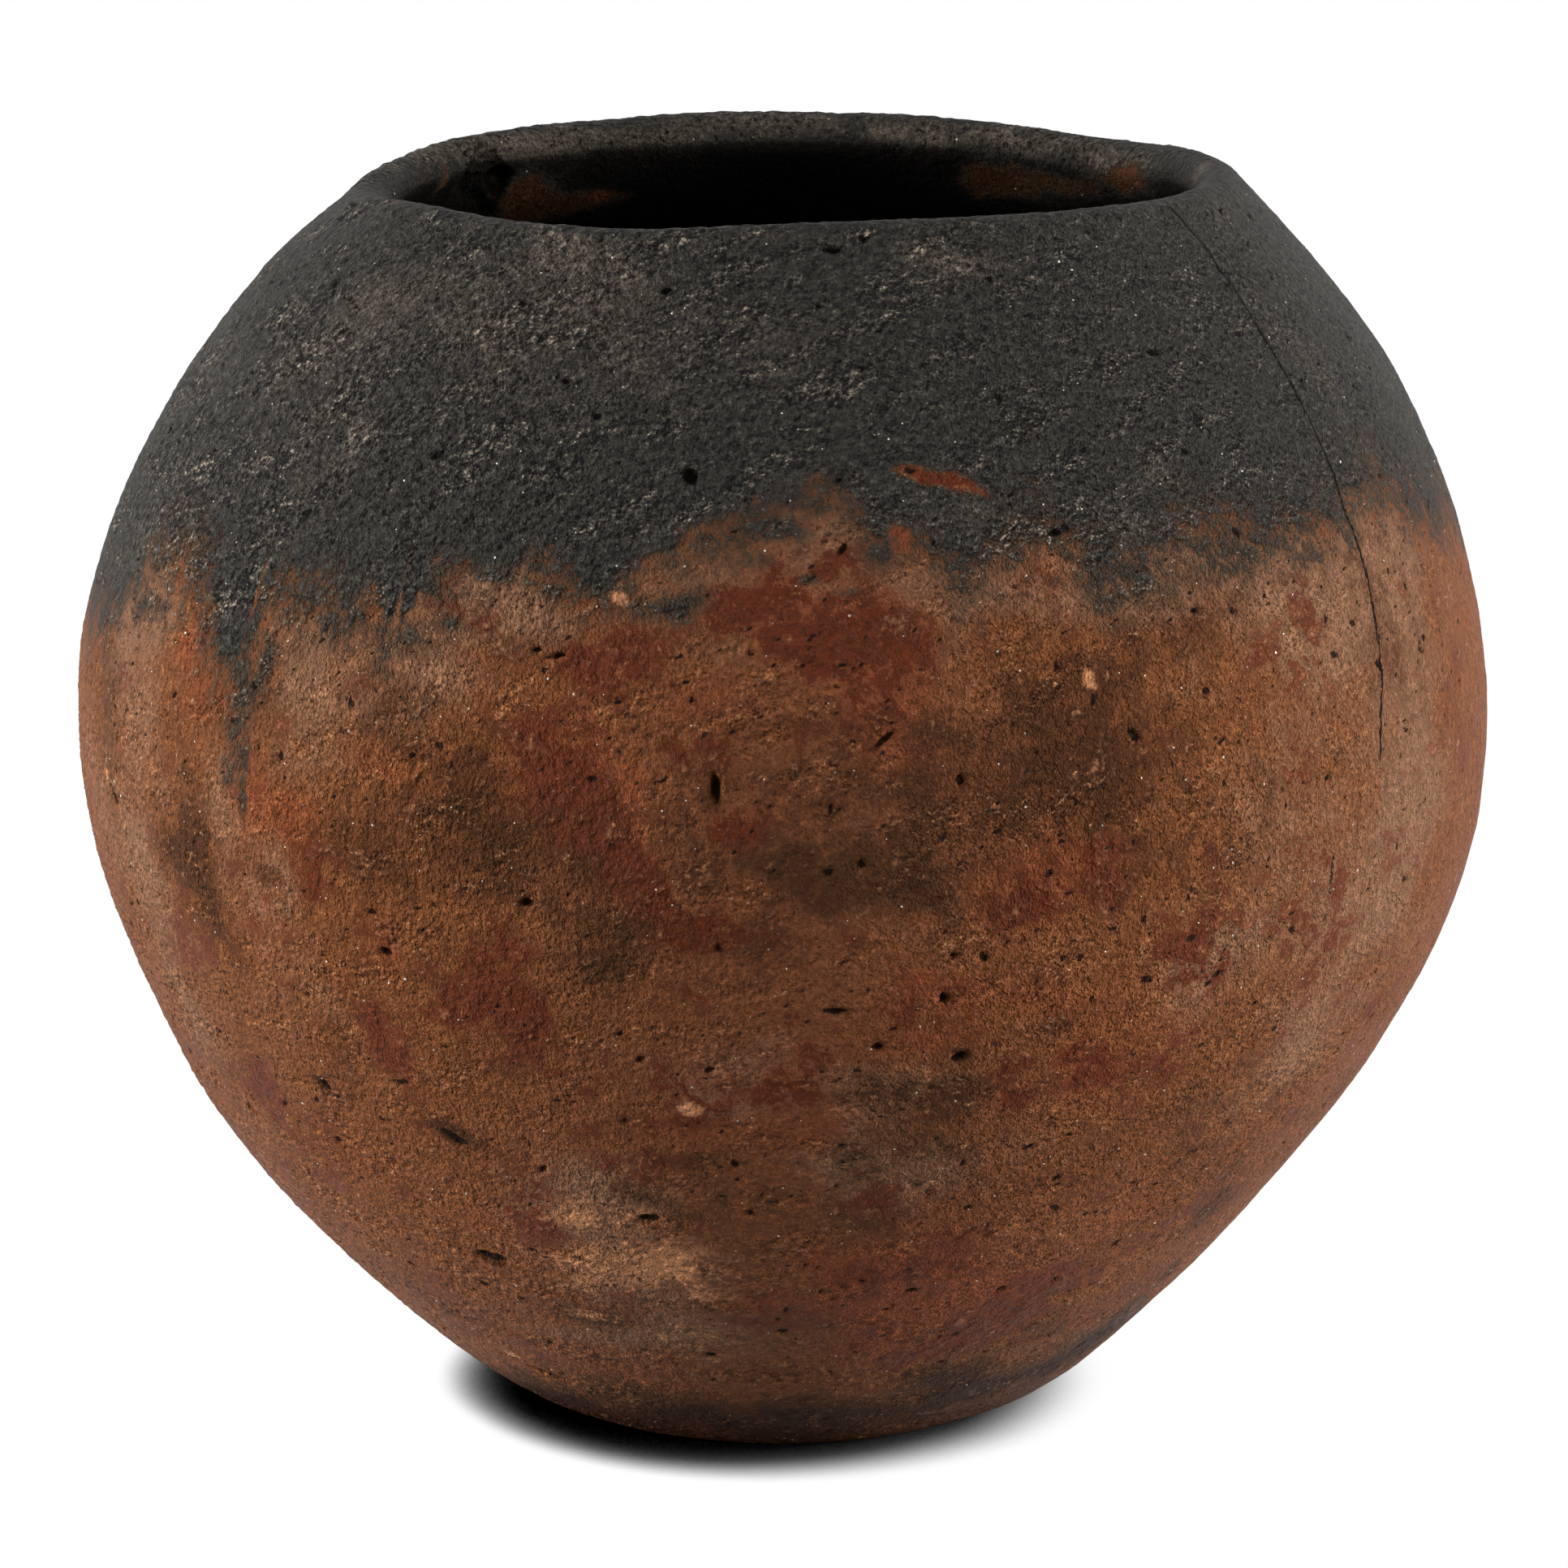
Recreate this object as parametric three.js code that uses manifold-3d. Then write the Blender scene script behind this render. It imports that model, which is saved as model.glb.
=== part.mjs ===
// Black-topped pottery vase: a round, wide-mouthed pot raised by hand from a pressed base pad and
// eight rings of clay. Each ring is luted to the one below it with a joint that slopes down
// through the wall. Every ring is a solid of its own, and the joints between them are closed.
// Units are millimetres. +Z is up, +X is to the right of someone facing the pot's front, and the
// front faces -Y. The origin is the centre of the resting face.

import * as THREE from "three";
import { mergeVertices } from "three/addons/utils/BufferGeometryUtils.js";
import Module from "manifold-3d";

// Driving dimensions of the whole pot
const POT_HEIGHT = 151; // to the top of the lip, not counting its waves
const BELLY_RADIUS = 85.4; // the widest
const WALL_THICKNESS = 7; // square to the surface, up to the neck
const JOINT_SLOPE = 4; // how far each joint runs down the wall from its outer to its inner edge

// Driving dimensions of the base pad
const FOOT_RADIUS = 28; // flat disc that the pot stands on
const FOOT_EDGE_RADIUS = 35.4; // end of the worn, rounded edge round that disc
const FOOT_EDGE_RISE = 3.2;
const FLOOR_THICKNESS = 9; // clay under the inside of the pot, on the axis
const FLOOR_FLAT_RADIUS = 18; // nearly flat middle of the inside
const FLOOR_DISHING = 0.4; // how far the floor has risen at that radius

// Driving dimensions of the mouth
const MOUTH_RADIUS = 48; // the narrowest part of the way in
const LIP_THICKNESS = 6.4; // the lip is a half round of this width

// The clay rings from the bottom up. level is the height of a ring's top edge as a share of the
// pot's height. fullness is how far out that edge lies on the way to the belly's radius, counted
// from the foot's edge up to the belly and from the outside of the lip above it.
const RINGS = [
  { name: "base_pad", level: 0.069, fullness: 0.182, clay: "smoked" },
  { name: "lower_wall_coil_1", level: 0.188, fullness: 0.524, clay: "red" },
  { name: "lower_wall_coil_2", level: 0.314, fullness: 0.778, clay: "red" },
  { name: "belly_coil_1", level: 0.446, fullness: 0.95, clay: "red" },
  { name: "belly_coil_2", level: 0.579, fullness: 1, clay: "red" },
  { name: "shoulder_coil_1", level: 0.705, fullness: 0.89, clay: "brown" },
  { name: "shoulder_coil_2", level: 0.824, fullness: 0.629, clay: "black" },
  { name: "neck_coil", level: 0.917, fullness: 0.303, clay: "black" },
];
const RIM_RING = { name: "rim_coil", clay: "black" };
const BELLY_RING = RINGS.findIndex((ring) => ring.fullness === 1);

// How far the hand-built wall strays from a true round: its centre drifts sideways along X
const MOUTH_DRIFT = 1.2; // from none at the belly to this at the mouth
const LOWER_WALL_DRIFT = -1.3; // bulge of the lower wall, to the left
const LOWER_WALL_DRIFT_HEIGHT = 26;
const LOWER_WALL_DRIFT_SPREAD = 22;

// The lip's uneven height: each wave is centred at an azimuth in degrees, anticlockwise from +X
// seen from above, and spreads that many degrees to either side
const LIP_WAVES = [
  { azimuth: 180, spread: 30, rise: -2.2 },
  { azimuth: 44, spread: 18, rise: -1.1 },
  { azimuth: 240, spread: 18, rise: -0.9 },
  { azimuth: 290, spread: 35, rise: 0.9 },
];

// An old chip out of the inside of the lip
const CHIP_AZIMUTH = 140; // degrees
const CHIP_HEIGHT_BELOW_LIP = 6.5; // of its middle
const CHIP_WIDTH = 10.5; // round the mouth
const CHIP_DEPTH = 3.4; // into the wall
const CHIP_TALLNESS = 13;

// Fineness of the faceted surface
const SIDES = 72; // round the pot
const STEPS = 3; // up each ring, on each face
const LIP_STEPS = 6; // over the half round of the lip

const CLAYS = {
  black: { color: "#383431", roughness: 0.78 },
  brown: { color: "#61412d", roughness: 0.85 },
  red: { color: "#7a4d35", roughness: 0.82 },
  smoked: { color: "#4a3325", roughness: 0.86 },
};

const smoothstep = (t) => {
  const s = THREE.MathUtils.clamp(t, 0, 1);
  return s * s * (3 - 2 * s);
};
const bell = (t) => Math.exp(-t * t);

// Outer edge of each joint between two rings, as radius and height
const joints = RINGS.map((ring, i) => {
  const narrowEnd = i <= BELLY_RING ? FOOT_EDGE_RADIUS : MOUTH_RADIUS + LIP_THICKNESS;
  const radius = THREE.MathUtils.lerp(narrowEnd, BELLY_RADIUS, ring.fullness);
  return new THREE.Vector2(radius, ring.level * POT_HEIGHT);
});
const bellyJoint = joints[BELLY_RING];
const rimJoint = joints.at(-1);

// The lip is a half round at the end of the wall. Its middle is half its width from the mouth's
// narrowest part, and its top is the top of the pot.
const lipRadius = LIP_THICKNESS / 2;
const lipCentre = new THREE.Vector2(MOUTH_RADIUS + lipRadius, POT_HEIGHT - lipRadius);
const wallToLip = lipCentre.clone().sub(rimJoint).normalize();

// A point on the lip's half round: 0 is where the outer face runs into it, 1 the inner face
function lipPoint(share) {
  const turn = share * Math.PI;
  const outward = new THREE.Vector2(wallToLip.y, -wallToLip.x);
  return lipCentre
    .clone()
    .addScaledVector(outward, lipRadius * Math.cos(turn))
    .addScaledVector(wallToLip, lipRadius * Math.sin(turn));
}

// Outer face of the wall as one curve, from the edge of the resting disc to the lip.
// Its stations are those two, the foot's edge and every joint.
const outerStations = [
  new THREE.Vector2(FOOT_RADIUS, 0),
  new THREE.Vector2(FOOT_EDGE_RADIUS, FOOT_EDGE_RISE),
  ...joints,
  lipPoint(0),
];
const outerFace = new THREE.SplineCurve(outerStations);
const STATIONS_BEFORE_JOINTS = 2;

// Where joint number i lies on the outer face, as the curve's parameter
function outerShare(i) {
  return (i + STATIONS_BEFORE_JOINTS) / (outerStations.length - 1);
}

// The inner edge of joint number i: through the wall, square to it, and then down the joint's slope
function innerJoint(i) {
  const along = outerFace.getTangent(outerShare(i));
  const inward = new THREE.Vector2(-along.y, along.x);
  return outerFace
    .getPoint(outerShare(i))
    .addScaledVector(inward, WALL_THICKNESS)
    .addScaledVector(along, -JOINT_SLOPE);
}

// Inner face as one curve, from the middle of the floor to the lip
const innerStations = [
  new THREE.Vector2(0, FLOOR_THICKNESS),
  new THREE.Vector2(FLOOR_FLAT_RADIUS, FLOOR_THICKNESS + FLOOR_DISHING),
  ...joints.map((_, i) => innerJoint(i)),
  lipPoint(1),
];
const innerFace = new THREE.SplineCurve(innerStations);

function innerShare(i) {
  return (i + STATIONS_BEFORE_JOINTS) / (innerStations.length - 1);
}

// Points of a curve from one share of it to another, both ends included
function stretch(curve, from, to, steps) {
  const shares = Array.from({ length: steps + 1 }, (_, k) => THREE.MathUtils.lerp(from, to, k / steps));
  return shares.map((share) => curve.getPoint(share));
}

// Section of ring number i, from its outer bottom edge up, over and back down the inside.
// The base pad's section starts and ends on the axis instead.
function ringSection(i) {
  if (i === 0) {
    return [
      new THREE.Vector2(0, 0),
      ...stretch(outerFace, 0, outerShare(0), 2 * STEPS),
      ...stretch(innerFace, innerShare(0), 0, 2 * STEPS),
    ];
  }
  return [
    ...stretch(outerFace, outerShare(i - 1), outerShare(i), STEPS),
    ...stretch(innerFace, innerShare(i), innerShare(i - 1), STEPS),
  ];
}

function rimSection() {
  const last = RINGS.length - 1;
  const lip = Array.from({ length: LIP_STEPS - 1 }, (_, k) => lipPoint((k + 1) / LIP_STEPS));
  return [
    ...stretch(outerFace, outerShare(last), 1, STEPS),
    ...lip,
    ...stretch(innerFace, 1, innerShare(last), STEPS),
  ];
}

// Sideways drift of the wall's centre at a height
function driftAt(z) {
  const upper = smoothstep((z - bellyJoint.y) / (rimJoint.y - bellyJoint.y));
  const lower = bell((z - LOWER_WALL_DRIFT_HEIGHT) / LOWER_WALL_DRIFT_SPREAD);
  const standing = smoothstep(z / joints[0].y);
  return MOUTH_DRIFT * upper + LOWER_WALL_DRIFT * lower * standing;
}

// Rise or dip of the lip, which fades out down to the rim ring's joint
function waveAt(azimuth, z) {
  const fade = smoothstep((z - rimJoint.y) / (POT_HEIGHT - rimJoint.y));
  return LIP_WAVES.reduce((sum, wave) => {
    const off = THREE.MathUtils.euclideanModulo(azimuth - wave.azimuth + 180, 360) - 180;
    return sum + wave.rise * bell(off / wave.spread) * fade;
  }, 0);
}

// The point of a section at an azimuth, with the pot's own unevenness
function place(point, side) {
  const azimuth = (360 * side) / SIDES;
  const turn = THREE.MathUtils.degToRad(azimuth);
  return [
    point.x * Math.cos(turn) + driftAt(point.y),
    point.x * Math.sin(turn),
    point.y + waveAt(azimuth, point.y),
  ];
}

// Carries a section round the axis. A section that starts and ends on the axis closes there, and
// any other closes on itself with the joint face that it shares with the ring below. Both rings
// split that face along the same diagonals, so that they meet without a gap.
function revolve(section) {
  const count = section.length;
  const onAxis = (j) => section[j].x === 0;
  const closed = !onAxis(0);
  const positions = [];
  for (let side = 0; side < SIDES; side += 1) {
    section.forEach((point) => positions.push(...place(point, side)));
  }
  const faces = [];
  const addFace = (...corners) => {
    const poles = corners.filter(([, j]) => onAxis(j)).length;
    if (poles > 1) return;
    faces.push(...corners.map(([side, j]) => (side % SIDES) * count + j));
  };
  for (let side = 0; side < SIDES; side += 1) {
    for (let j = 0; j < (closed ? count : count - 1); j += 1) {
      const above = (j + 1) % count;
      const [a, b, c, d] = [[side, j], [side + 1, j], [side + 1, above], [side, above]];
      if (above === 0) {
        addFace(a, b, d);
        addFace(b, c, d);
      } else {
        addFace(a, b, c);
        addFace(a, c, d);
      }
    }
  }
  const geometry = new THREE.BufferGeometry();
  geometry.setAttribute("position", new THREE.Float32BufferAttribute(positions, 3));
  geometry.setIndex(faces);
  return mergeVertices(geometry);
}

const wasm = await Module();
wasm.setup();

function toSolid(geometry) {
  return new wasm.Manifold(
    new wasm.Mesh({
      numProp: 3,
      vertProperties: geometry.getAttribute("position").array,
      triVerts: new Uint32Array(geometry.index.array),
    }),
  );
}

function toGeometry(solid) {
  const mesh = solid.getMesh();
  const geometry = new THREE.BufferGeometry();
  geometry.setAttribute("position", new THREE.BufferAttribute(mesh.vertProperties, 3));
  geometry.setIndex(new THREE.BufferAttribute(mesh.triVerts, 1));
  return geometry;
}

// The lump of clay that broke away from inside the lip: a faceted ball, taller than it is wide,
// leaning back with the wall
function chipLump() {
  const lump = new THREE.IcosahedronGeometry(1, 1);
  lump.deleteAttribute("normal");
  lump.deleteAttribute("uv");
  const turn = THREE.MathUtils.degToRad(CHIP_AZIMUTH);
  const height = POT_HEIGHT - CHIP_HEIGHT_BELOW_LIP;
  lump.scale(CHIP_DEPTH, CHIP_WIDTH / 2, CHIP_TALLNESS / 2);
  lump.rotateY(-Math.atan2(-wallToLip.x, wallToLip.y) / 2);
  lump.rotateZ(turn);
  lump.translate(
    (MOUTH_RADIUS + 1) * Math.cos(turn) + driftAt(height),
    (MOUTH_RADIUS + 1) * Math.sin(turn),
    height,
  );
  return mergeVertices(lump);
}

function clayMesh(name, geometry, clay) {
  const material = new THREE.MeshStandardMaterial({ ...CLAYS[clay], metalness: 0 });
  const mesh = new THREE.Mesh(geometry, material);
  mesh.name = name;
  geometry.computeVertexNormals();
  return mesh;
}

const vase = new THREE.Group();
RINGS.forEach((ring, i) => vase.add(clayMesh(ring.name, revolve(ringSection(i)), ring.clay)));
const chippedRim = toSolid(revolve(rimSection())).subtract(toSolid(chipLump()));
vase.add(clayMesh(RIM_RING.name, toGeometry(chippedRim), RIM_RING.clay));

export default vase;
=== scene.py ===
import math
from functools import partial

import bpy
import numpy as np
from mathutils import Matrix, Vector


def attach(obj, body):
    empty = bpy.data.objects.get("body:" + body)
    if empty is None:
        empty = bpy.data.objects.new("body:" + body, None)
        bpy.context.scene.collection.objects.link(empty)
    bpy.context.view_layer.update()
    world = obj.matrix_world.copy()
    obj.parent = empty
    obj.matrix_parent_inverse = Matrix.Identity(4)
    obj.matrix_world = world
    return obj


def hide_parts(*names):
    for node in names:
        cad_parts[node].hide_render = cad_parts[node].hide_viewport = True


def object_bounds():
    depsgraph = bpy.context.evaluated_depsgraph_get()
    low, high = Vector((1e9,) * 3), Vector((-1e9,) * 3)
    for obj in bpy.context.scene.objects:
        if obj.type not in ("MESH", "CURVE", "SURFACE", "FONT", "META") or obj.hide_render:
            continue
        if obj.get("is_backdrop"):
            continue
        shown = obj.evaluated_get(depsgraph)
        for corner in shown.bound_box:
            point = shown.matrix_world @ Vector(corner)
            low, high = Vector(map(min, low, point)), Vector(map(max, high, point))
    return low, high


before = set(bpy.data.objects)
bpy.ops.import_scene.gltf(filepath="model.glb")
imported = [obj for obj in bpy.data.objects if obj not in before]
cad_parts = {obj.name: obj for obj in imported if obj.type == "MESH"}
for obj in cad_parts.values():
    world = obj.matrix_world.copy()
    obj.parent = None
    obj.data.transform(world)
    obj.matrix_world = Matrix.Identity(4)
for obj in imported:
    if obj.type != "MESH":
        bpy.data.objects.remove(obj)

# The black-topped pottery vase, dressed over its nine clay pieces. Every piece is one stretch of the
# same hand-formed wall. The whole section is laid out once, as a grid of rows along the section and
# columns round the pot. Relief and finish are worked out on that grid, and each piece takes its rows.
# Lengths are millimetres until a mesh is made. Azimuths are degrees, anticlockwise from +X seen from
# above, so the front is at 270.

CAD_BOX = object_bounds()
METRES = 0.001

# The view: where the camera stood and what it looked at
PHOTO_SIZE = 1932
CAMERA_DISTANCE = 800.0
CAMERA_TILT = math.radians(13.2)
CAMERA_TARGET = np.array([0.19, 0.0, 75.2])
PIXELS_PER_MM = 10.08
SENSOR = 36.0

# The same driving dimensions as the clay solids have
POT_HEIGHT = 151.0
BELLY_RADIUS = 85.4
WALL_THICKNESS = 7.0
JOINT_SLOPE = 4.0
FOOT_RADIUS = 28.0
FOOT_EDGE_RADIUS = 35.4
FOOT_EDGE_RISE = 3.2
FLOOR_THICKNESS = 9.0
FLOOR_FLAT_RADIUS = 18.0
FLOOR_DISHING = 0.4
MOUTH_RADIUS = 48.0
LIP_THICKNESS = 6.4
LEVELS = [0.069, 0.188, 0.314, 0.446, 0.579, 0.705, 0.824, 0.917]
FULLNESS = [0.182, 0.524, 0.778, 0.95, 1.0, 0.89, 0.629, 0.303]
BELLY_JOINT = 4
MOUTH_DRIFT = 1.2
LOWER_WALL_DRIFT = -1.3
LOWER_WALL_DRIFT_HEIGHT = 26.0
LOWER_WALL_DRIFT_SPREAD = 22.0
LIP_WAVES = [(180, 30, -2.2), (44, 18, -1.1), (240, 18, -0.9), (290, 35, 0.9)]

PIECES = [
    ("base_pad", "smoked_clay"),
    ("lower_wall_coil_1", "red_slipped_clay"),
    ("lower_wall_coil_2", "red_slipped_clay"),
    ("belly_coil_1", "red_slipped_clay"),
    ("belly_coil_2", "red_slipped_clay"),
    ("shoulder_coil_1", "smoked_clay"),
    ("shoulder_coil_2", "blackened_clay"),
    ("neck_coil", "blackened_clay"),
    ("rim_coil", "blackened_clay"),
]

# Fineness of the grid
COLUMNS = 1120
OUTER_PITCH = 0.4
LIP_PITCH = 0.45
INNER_RIM_PITCH = 0.8
INNER_PITCH = 1.2
# A stretch of the section is measured in this many steps before it is cut evenly
FINE_STEPS = 400


def smoothstep(t):
    """Rises smoothly from 0 to 1 as t does, and is level beyond."""
    t = np.clip(t, 0.0, 1.0)
    return t * t * (3.0 - 2.0 * t)


def bell(t):
    """Falls smoothly from 1 at 0 towards nothing on either side."""
    return np.exp(-t * t)


def short_turn(degrees):
    """The same turn the short way round, between -180 and 180 degrees."""
    return (degrees + 180) % 360 - 180


# The section

def spline(stations, shares):
    """Uniform Catmull-Rom curve: each stretch between two stations is a cubic whose end slopes are
    half the chord between the stations on either side."""
    stations = np.asarray(stations, float)
    last = len(stations) - 1
    place = np.asarray(shares) * last
    start = np.minimum(np.floor(place).astype(int), last)
    t = (place - start)[:, None]
    before = stations[np.maximum(start - 1, 0)]
    here = stations[start]
    after = stations[np.minimum(start + 1, last)]
    beyond = stations[np.minimum(start + 2, last)]
    slope_here = (after - before) / 2.0
    slope_after = (beyond - here) / 2.0
    return (
        (2 * here - 2 * after + slope_here + slope_after) * t**3
        + (-3 * here + 3 * after - 2 * slope_here - slope_after) * t**2
        + slope_here * t
        + here
    )


def joint_edges():
    """Outer edge of each joint as radius and height. Its radius lies between the belly's and the
    foot's edge below the belly, or between the belly's and the outside of the lip above it."""
    edges = []
    for number, (level, fullness) in enumerate(zip(LEVELS, FULLNESS)):
        narrow = FOOT_EDGE_RADIUS if number <= BELLY_JOINT else MOUTH_RADIUS + LIP_THICKNESS
        edges.append((narrow + (BELLY_RADIUS - narrow) * fullness, level * POT_HEIGHT))
    return np.array(edges)


JOINTS = joint_edges()
LIP_RADIUS = LIP_THICKNESS / 2.0
LIP_CENTRE = np.array([MOUTH_RADIUS + LIP_RADIUS, POT_HEIGHT - LIP_RADIUS])
WALL_TO_LIP = (LIP_CENTRE - JOINTS[-1]) / np.linalg.norm(LIP_CENTRE - JOINTS[-1])


def lip_points(shares):
    """Half circle over the end of the wall, from the outer face at 0 to the inner face at 1."""
    turn = np.asarray(shares)[:, None] * math.pi
    outward = np.array([WALL_TO_LIP[1], -WALL_TO_LIP[0]])
    return LIP_CENTRE + LIP_RADIUS * (np.cos(turn) * outward + np.sin(turn) * WALL_TO_LIP)


OUTER_STATIONS = np.vstack([
    [FOOT_RADIUS, 0.0],
    [FOOT_EDGE_RADIUS, FOOT_EDGE_RISE],
    JOINTS,
    lip_points([0.0]),
])


def inner_joint(number):
    """Inner edge of a joint: through the wall, square to it, then down the slope of the joint."""
    before, after = OUTER_STATIONS[number + 1], OUTER_STATIONS[number + 3]
    along = (after - before) / np.linalg.norm(after - before)
    inward = np.array([-along[1], along[0]])
    return JOINTS[number] + WALL_THICKNESS * inward - JOINT_SLOPE * along


INNER_STATIONS = np.vstack([
    [0.0, FLOOR_THICKNESS],
    [FLOOR_FLAT_RADIUS, FLOOR_THICKNESS + FLOOR_DISHING],
    [inner_joint(number) for number in range(len(JOINTS))],
    lip_points([1.0]),
])


def evenly(curve, start, end, pitch):
    """Points of a curve between two shares, an even distance apart along it, without the last."""
    dense = curve(np.linspace(start, end, FINE_STEPS))
    steps = np.linalg.norm(np.diff(dense, axis=0), axis=1)
    travelled = np.concatenate([[0.0], np.cumsum(steps)])
    count = max(2, round(travelled[-1] / pitch))
    marks = np.linspace(0.0, travelled[-1], count + 1)[:-1]
    return np.column_stack([np.interp(marks, travelled, dense[:, k]) for k in range(2)])


def whole_section():
    """Rows of the grid: from the foot's disc up the outer face, over the lip, and down the inner
    face to the middle of the floor. Gives the rows, and each joint's row outside and inside."""
    outer = [(k + 2) / (len(OUTER_STATIONS) - 1) for k in range(len(JOINTS))]
    inner = [(k + 2) / (len(INNER_STATIONS) - 1) for k in range(len(JOINTS))]
    stretches = [
        (lambda shares: spline(OUTER_STATIONS, shares), start, end, OUTER_PITCH)
        for start, end in zip([0.0] + outer, outer + [1.0])
    ]
    stretches.append((lip_points, 0.0, 1.0, LIP_PITCH))
    pitches = [INNER_RIM_PITCH] + [INNER_PITCH] * len(JOINTS)
    stretches += [
        (lambda shares: spline(INNER_STATIONS, shares), start, end, pitch)
        for start, end, pitch in zip([1.0] + inner[::-1], inner[::-1] + [0.0], pitches)
    ]
    runs = [evenly(*stretch) for stretch in stretches]
    starts = np.concatenate([[0], np.cumsum([len(run) for run in runs])])
    rows = np.vstack(runs)
    joints = len(JOINTS)
    outside = [int(starts[k + 1]) for k in range(joints)]
    inside = [int(starts[2 * joints + 2 - k]) for k in range(joints)]
    return rows, outside, inside, int(starts[joints + 1]), int(starts[joints + 2])


ROWS, OUTSIDE_JOINT, INSIDE_JOINT, LIP_START, LIP_END = whole_section()
RADIUS = ROWS[:, 0]
HEIGHT = ROWS[:, 1]
ALONG = np.concatenate([[0.0], np.cumsum(np.linalg.norm(np.diff(ROWS, axis=0), axis=1))])
AZIMUTH = np.arange(COLUMNS) * 360.0 / COLUMNS
GRID = (len(ROWS), COLUMNS)
OUTSIDE = np.arange(len(ROWS)) <= LIP_START


def section_normals():
    """Direction out of the clay in the plane of the section: the path's own direction, turned."""
    run = np.gradient(ROWS, axis=0)
    run /= np.linalg.norm(run, axis=1)[:, None]
    return np.column_stack([run[:, 1], -run[:, 0]])


def turn_section(radius, height):
    """Carries points of the section round the axis, with the pot's drift to the side and the
    waves of its lip."""
    upper = smoothstep((height - JOINTS[BELLY_JOINT, 1]) / (JOINTS[-1, 1] - JOINTS[BELLY_JOINT, 1]))
    lower = bell((height - LOWER_WALL_DRIFT_HEIGHT) / LOWER_WALL_DRIFT_SPREAD)
    standing = smoothstep(height / JOINTS[0, 1])
    drift = MOUTH_DRIFT * upper + LOWER_WALL_DRIFT * lower * standing
    fade = smoothstep((height - JOINTS[-1, 1]) / (POT_HEIGHT - JOINTS[-1, 1]))
    wave = sum(
        rise * bell(short_turn(AZIMUTH - azimuth) / spread)
        for azimuth, spread, rise in LIP_WAVES
    )
    turn = np.radians(AZIMUTH)
    return np.stack([
        radius[:, None] * np.cos(turn) + drift[:, None],
        radius[:, None] * np.sin(turn),
        height[:, None] + wave * fade[:, None],
    ], axis=-1)


ROUND_WALL = turn_section(RADIUS, HEIGHT)


# Noise and marks on the grid

# The grid's own noises: size in millimetres, seed and number of layers
GRID_NOISES = {
    "warp_round": (12, 101, 3),
    "warp_along": (12, 111, 3),
    "slow": (34, 201, 2),
    "middling": (12, 211, 2),
    "fine": (4.2, 221, 3),
    "wiped": (7, 231, 3),
    "ragged": (7, 241, 4),
    "uneven": (9, 251, 4),
    "smoky": (12, 261, 4),
    "crumbly": (1.8, 301, 2),
    "streaks": (3.4, 311, 4),
    "grainy": (0.85, 321, 1),
}
CORNER_SLOPES = 4096
CELL_PRIMES = (73856093, 19349663, 83492791)
NOISE_GAIN = 1.6
LAYER_STRENGTH = 0.55


def gradient_noise(points, size, seed):
    """Perlin's noise: random slopes at the corners of cubes of the given size, blended smoothly.
    About -1 to 1."""
    slopes = np.random.default_rng(seed).normal(size=(CORNER_SLOPES, 3)).astype(np.float32)
    slopes /= np.linalg.norm(slopes, axis=1)[:, None]
    axes = []
    for k, prime in enumerate(CELL_PRIMES):
        place = (points[..., k] / size).astype(np.float32)
        cell = np.floor(place)
        inner = place - cell
        cell = cell.astype(np.int32)
        blend = inner**3 * (inner * (inner * 6 - 15) + 10)
        axes.append([(cell * prime, inner, 1 - blend), ((cell + 1) * prime, inner - 1, blend)])
    total = np.zeros(points.shape[:-1], np.float32)
    for i, j, k in np.ndindex(2, 2, 2):
        (code_x, off_x, share_x), (code_y, off_y, share_y), (code_z, off_z, share_z) = (
            axes[0][i], axes[1][j], axes[2][k]
        )
        slope = slopes[(code_x ^ code_y ^ code_z) & (CORNER_SLOPES - 1)]
        height = slope[..., 0] * off_x + slope[..., 1] * off_y + slope[..., 2] * off_z
        total += share_x * share_y * share_z * height
    return total * NOISE_GAIN


def grid_noise(name, points=ROUND_WALL):
    """Noise over the whole grid: each layer half as large and a little over half as strong as the
    one before."""
    size, seed, layers = GRID_NOISES[name]
    return sum(
        LAYER_STRENGTH**layer * gradient_noise(points, size / 2**layer, seed + layer)
        for layer in range(layers)
    )


SURFACE_NORMALS = section_normals()
TURN = np.radians(AZIMUTH)
# How far the outlines of the marks wander, in millimetres
WARP = 3.6
WARP_ROUND = WARP * grid_noise("warp_round")
WARP_ALONG = WARP * grid_noise("warp_along")

# The strokes of the hand that smoothed the clay: how long they are beside their width, how steeply
# they climb to the right at the front of the shoulder, and over what heights the climb comes in
STROKE_LENGTH = 3.2
STROKE_CLIMB = 0.45
LEVEL_STROKES_TOP = 55.0
CLIMB_BAND = 40.0


def along_strokes():
    """Places on the wall, drawn together along the strokes, so that noise read there is streaked.
    The strokes climb on one side of the shoulder and fall on the other, and lie level lower down."""
    climb = STROKE_CLIMB * smoothstep((HEIGHT - LEVEL_STROKES_TOP) / CLIMB_BAND) * RADIUS
    beyond = ALONG[:, None] - climb[:, None] * np.cos(TURN)
    return np.stack([
        RADIUS[:, None] * np.cos(TURN) / STROKE_LENGTH,
        RADIUS[:, None] * np.sin(TURN) / STROKE_LENGTH,
        beyond,
    ], axis=-1)


STROKES = along_strokes()


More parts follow.
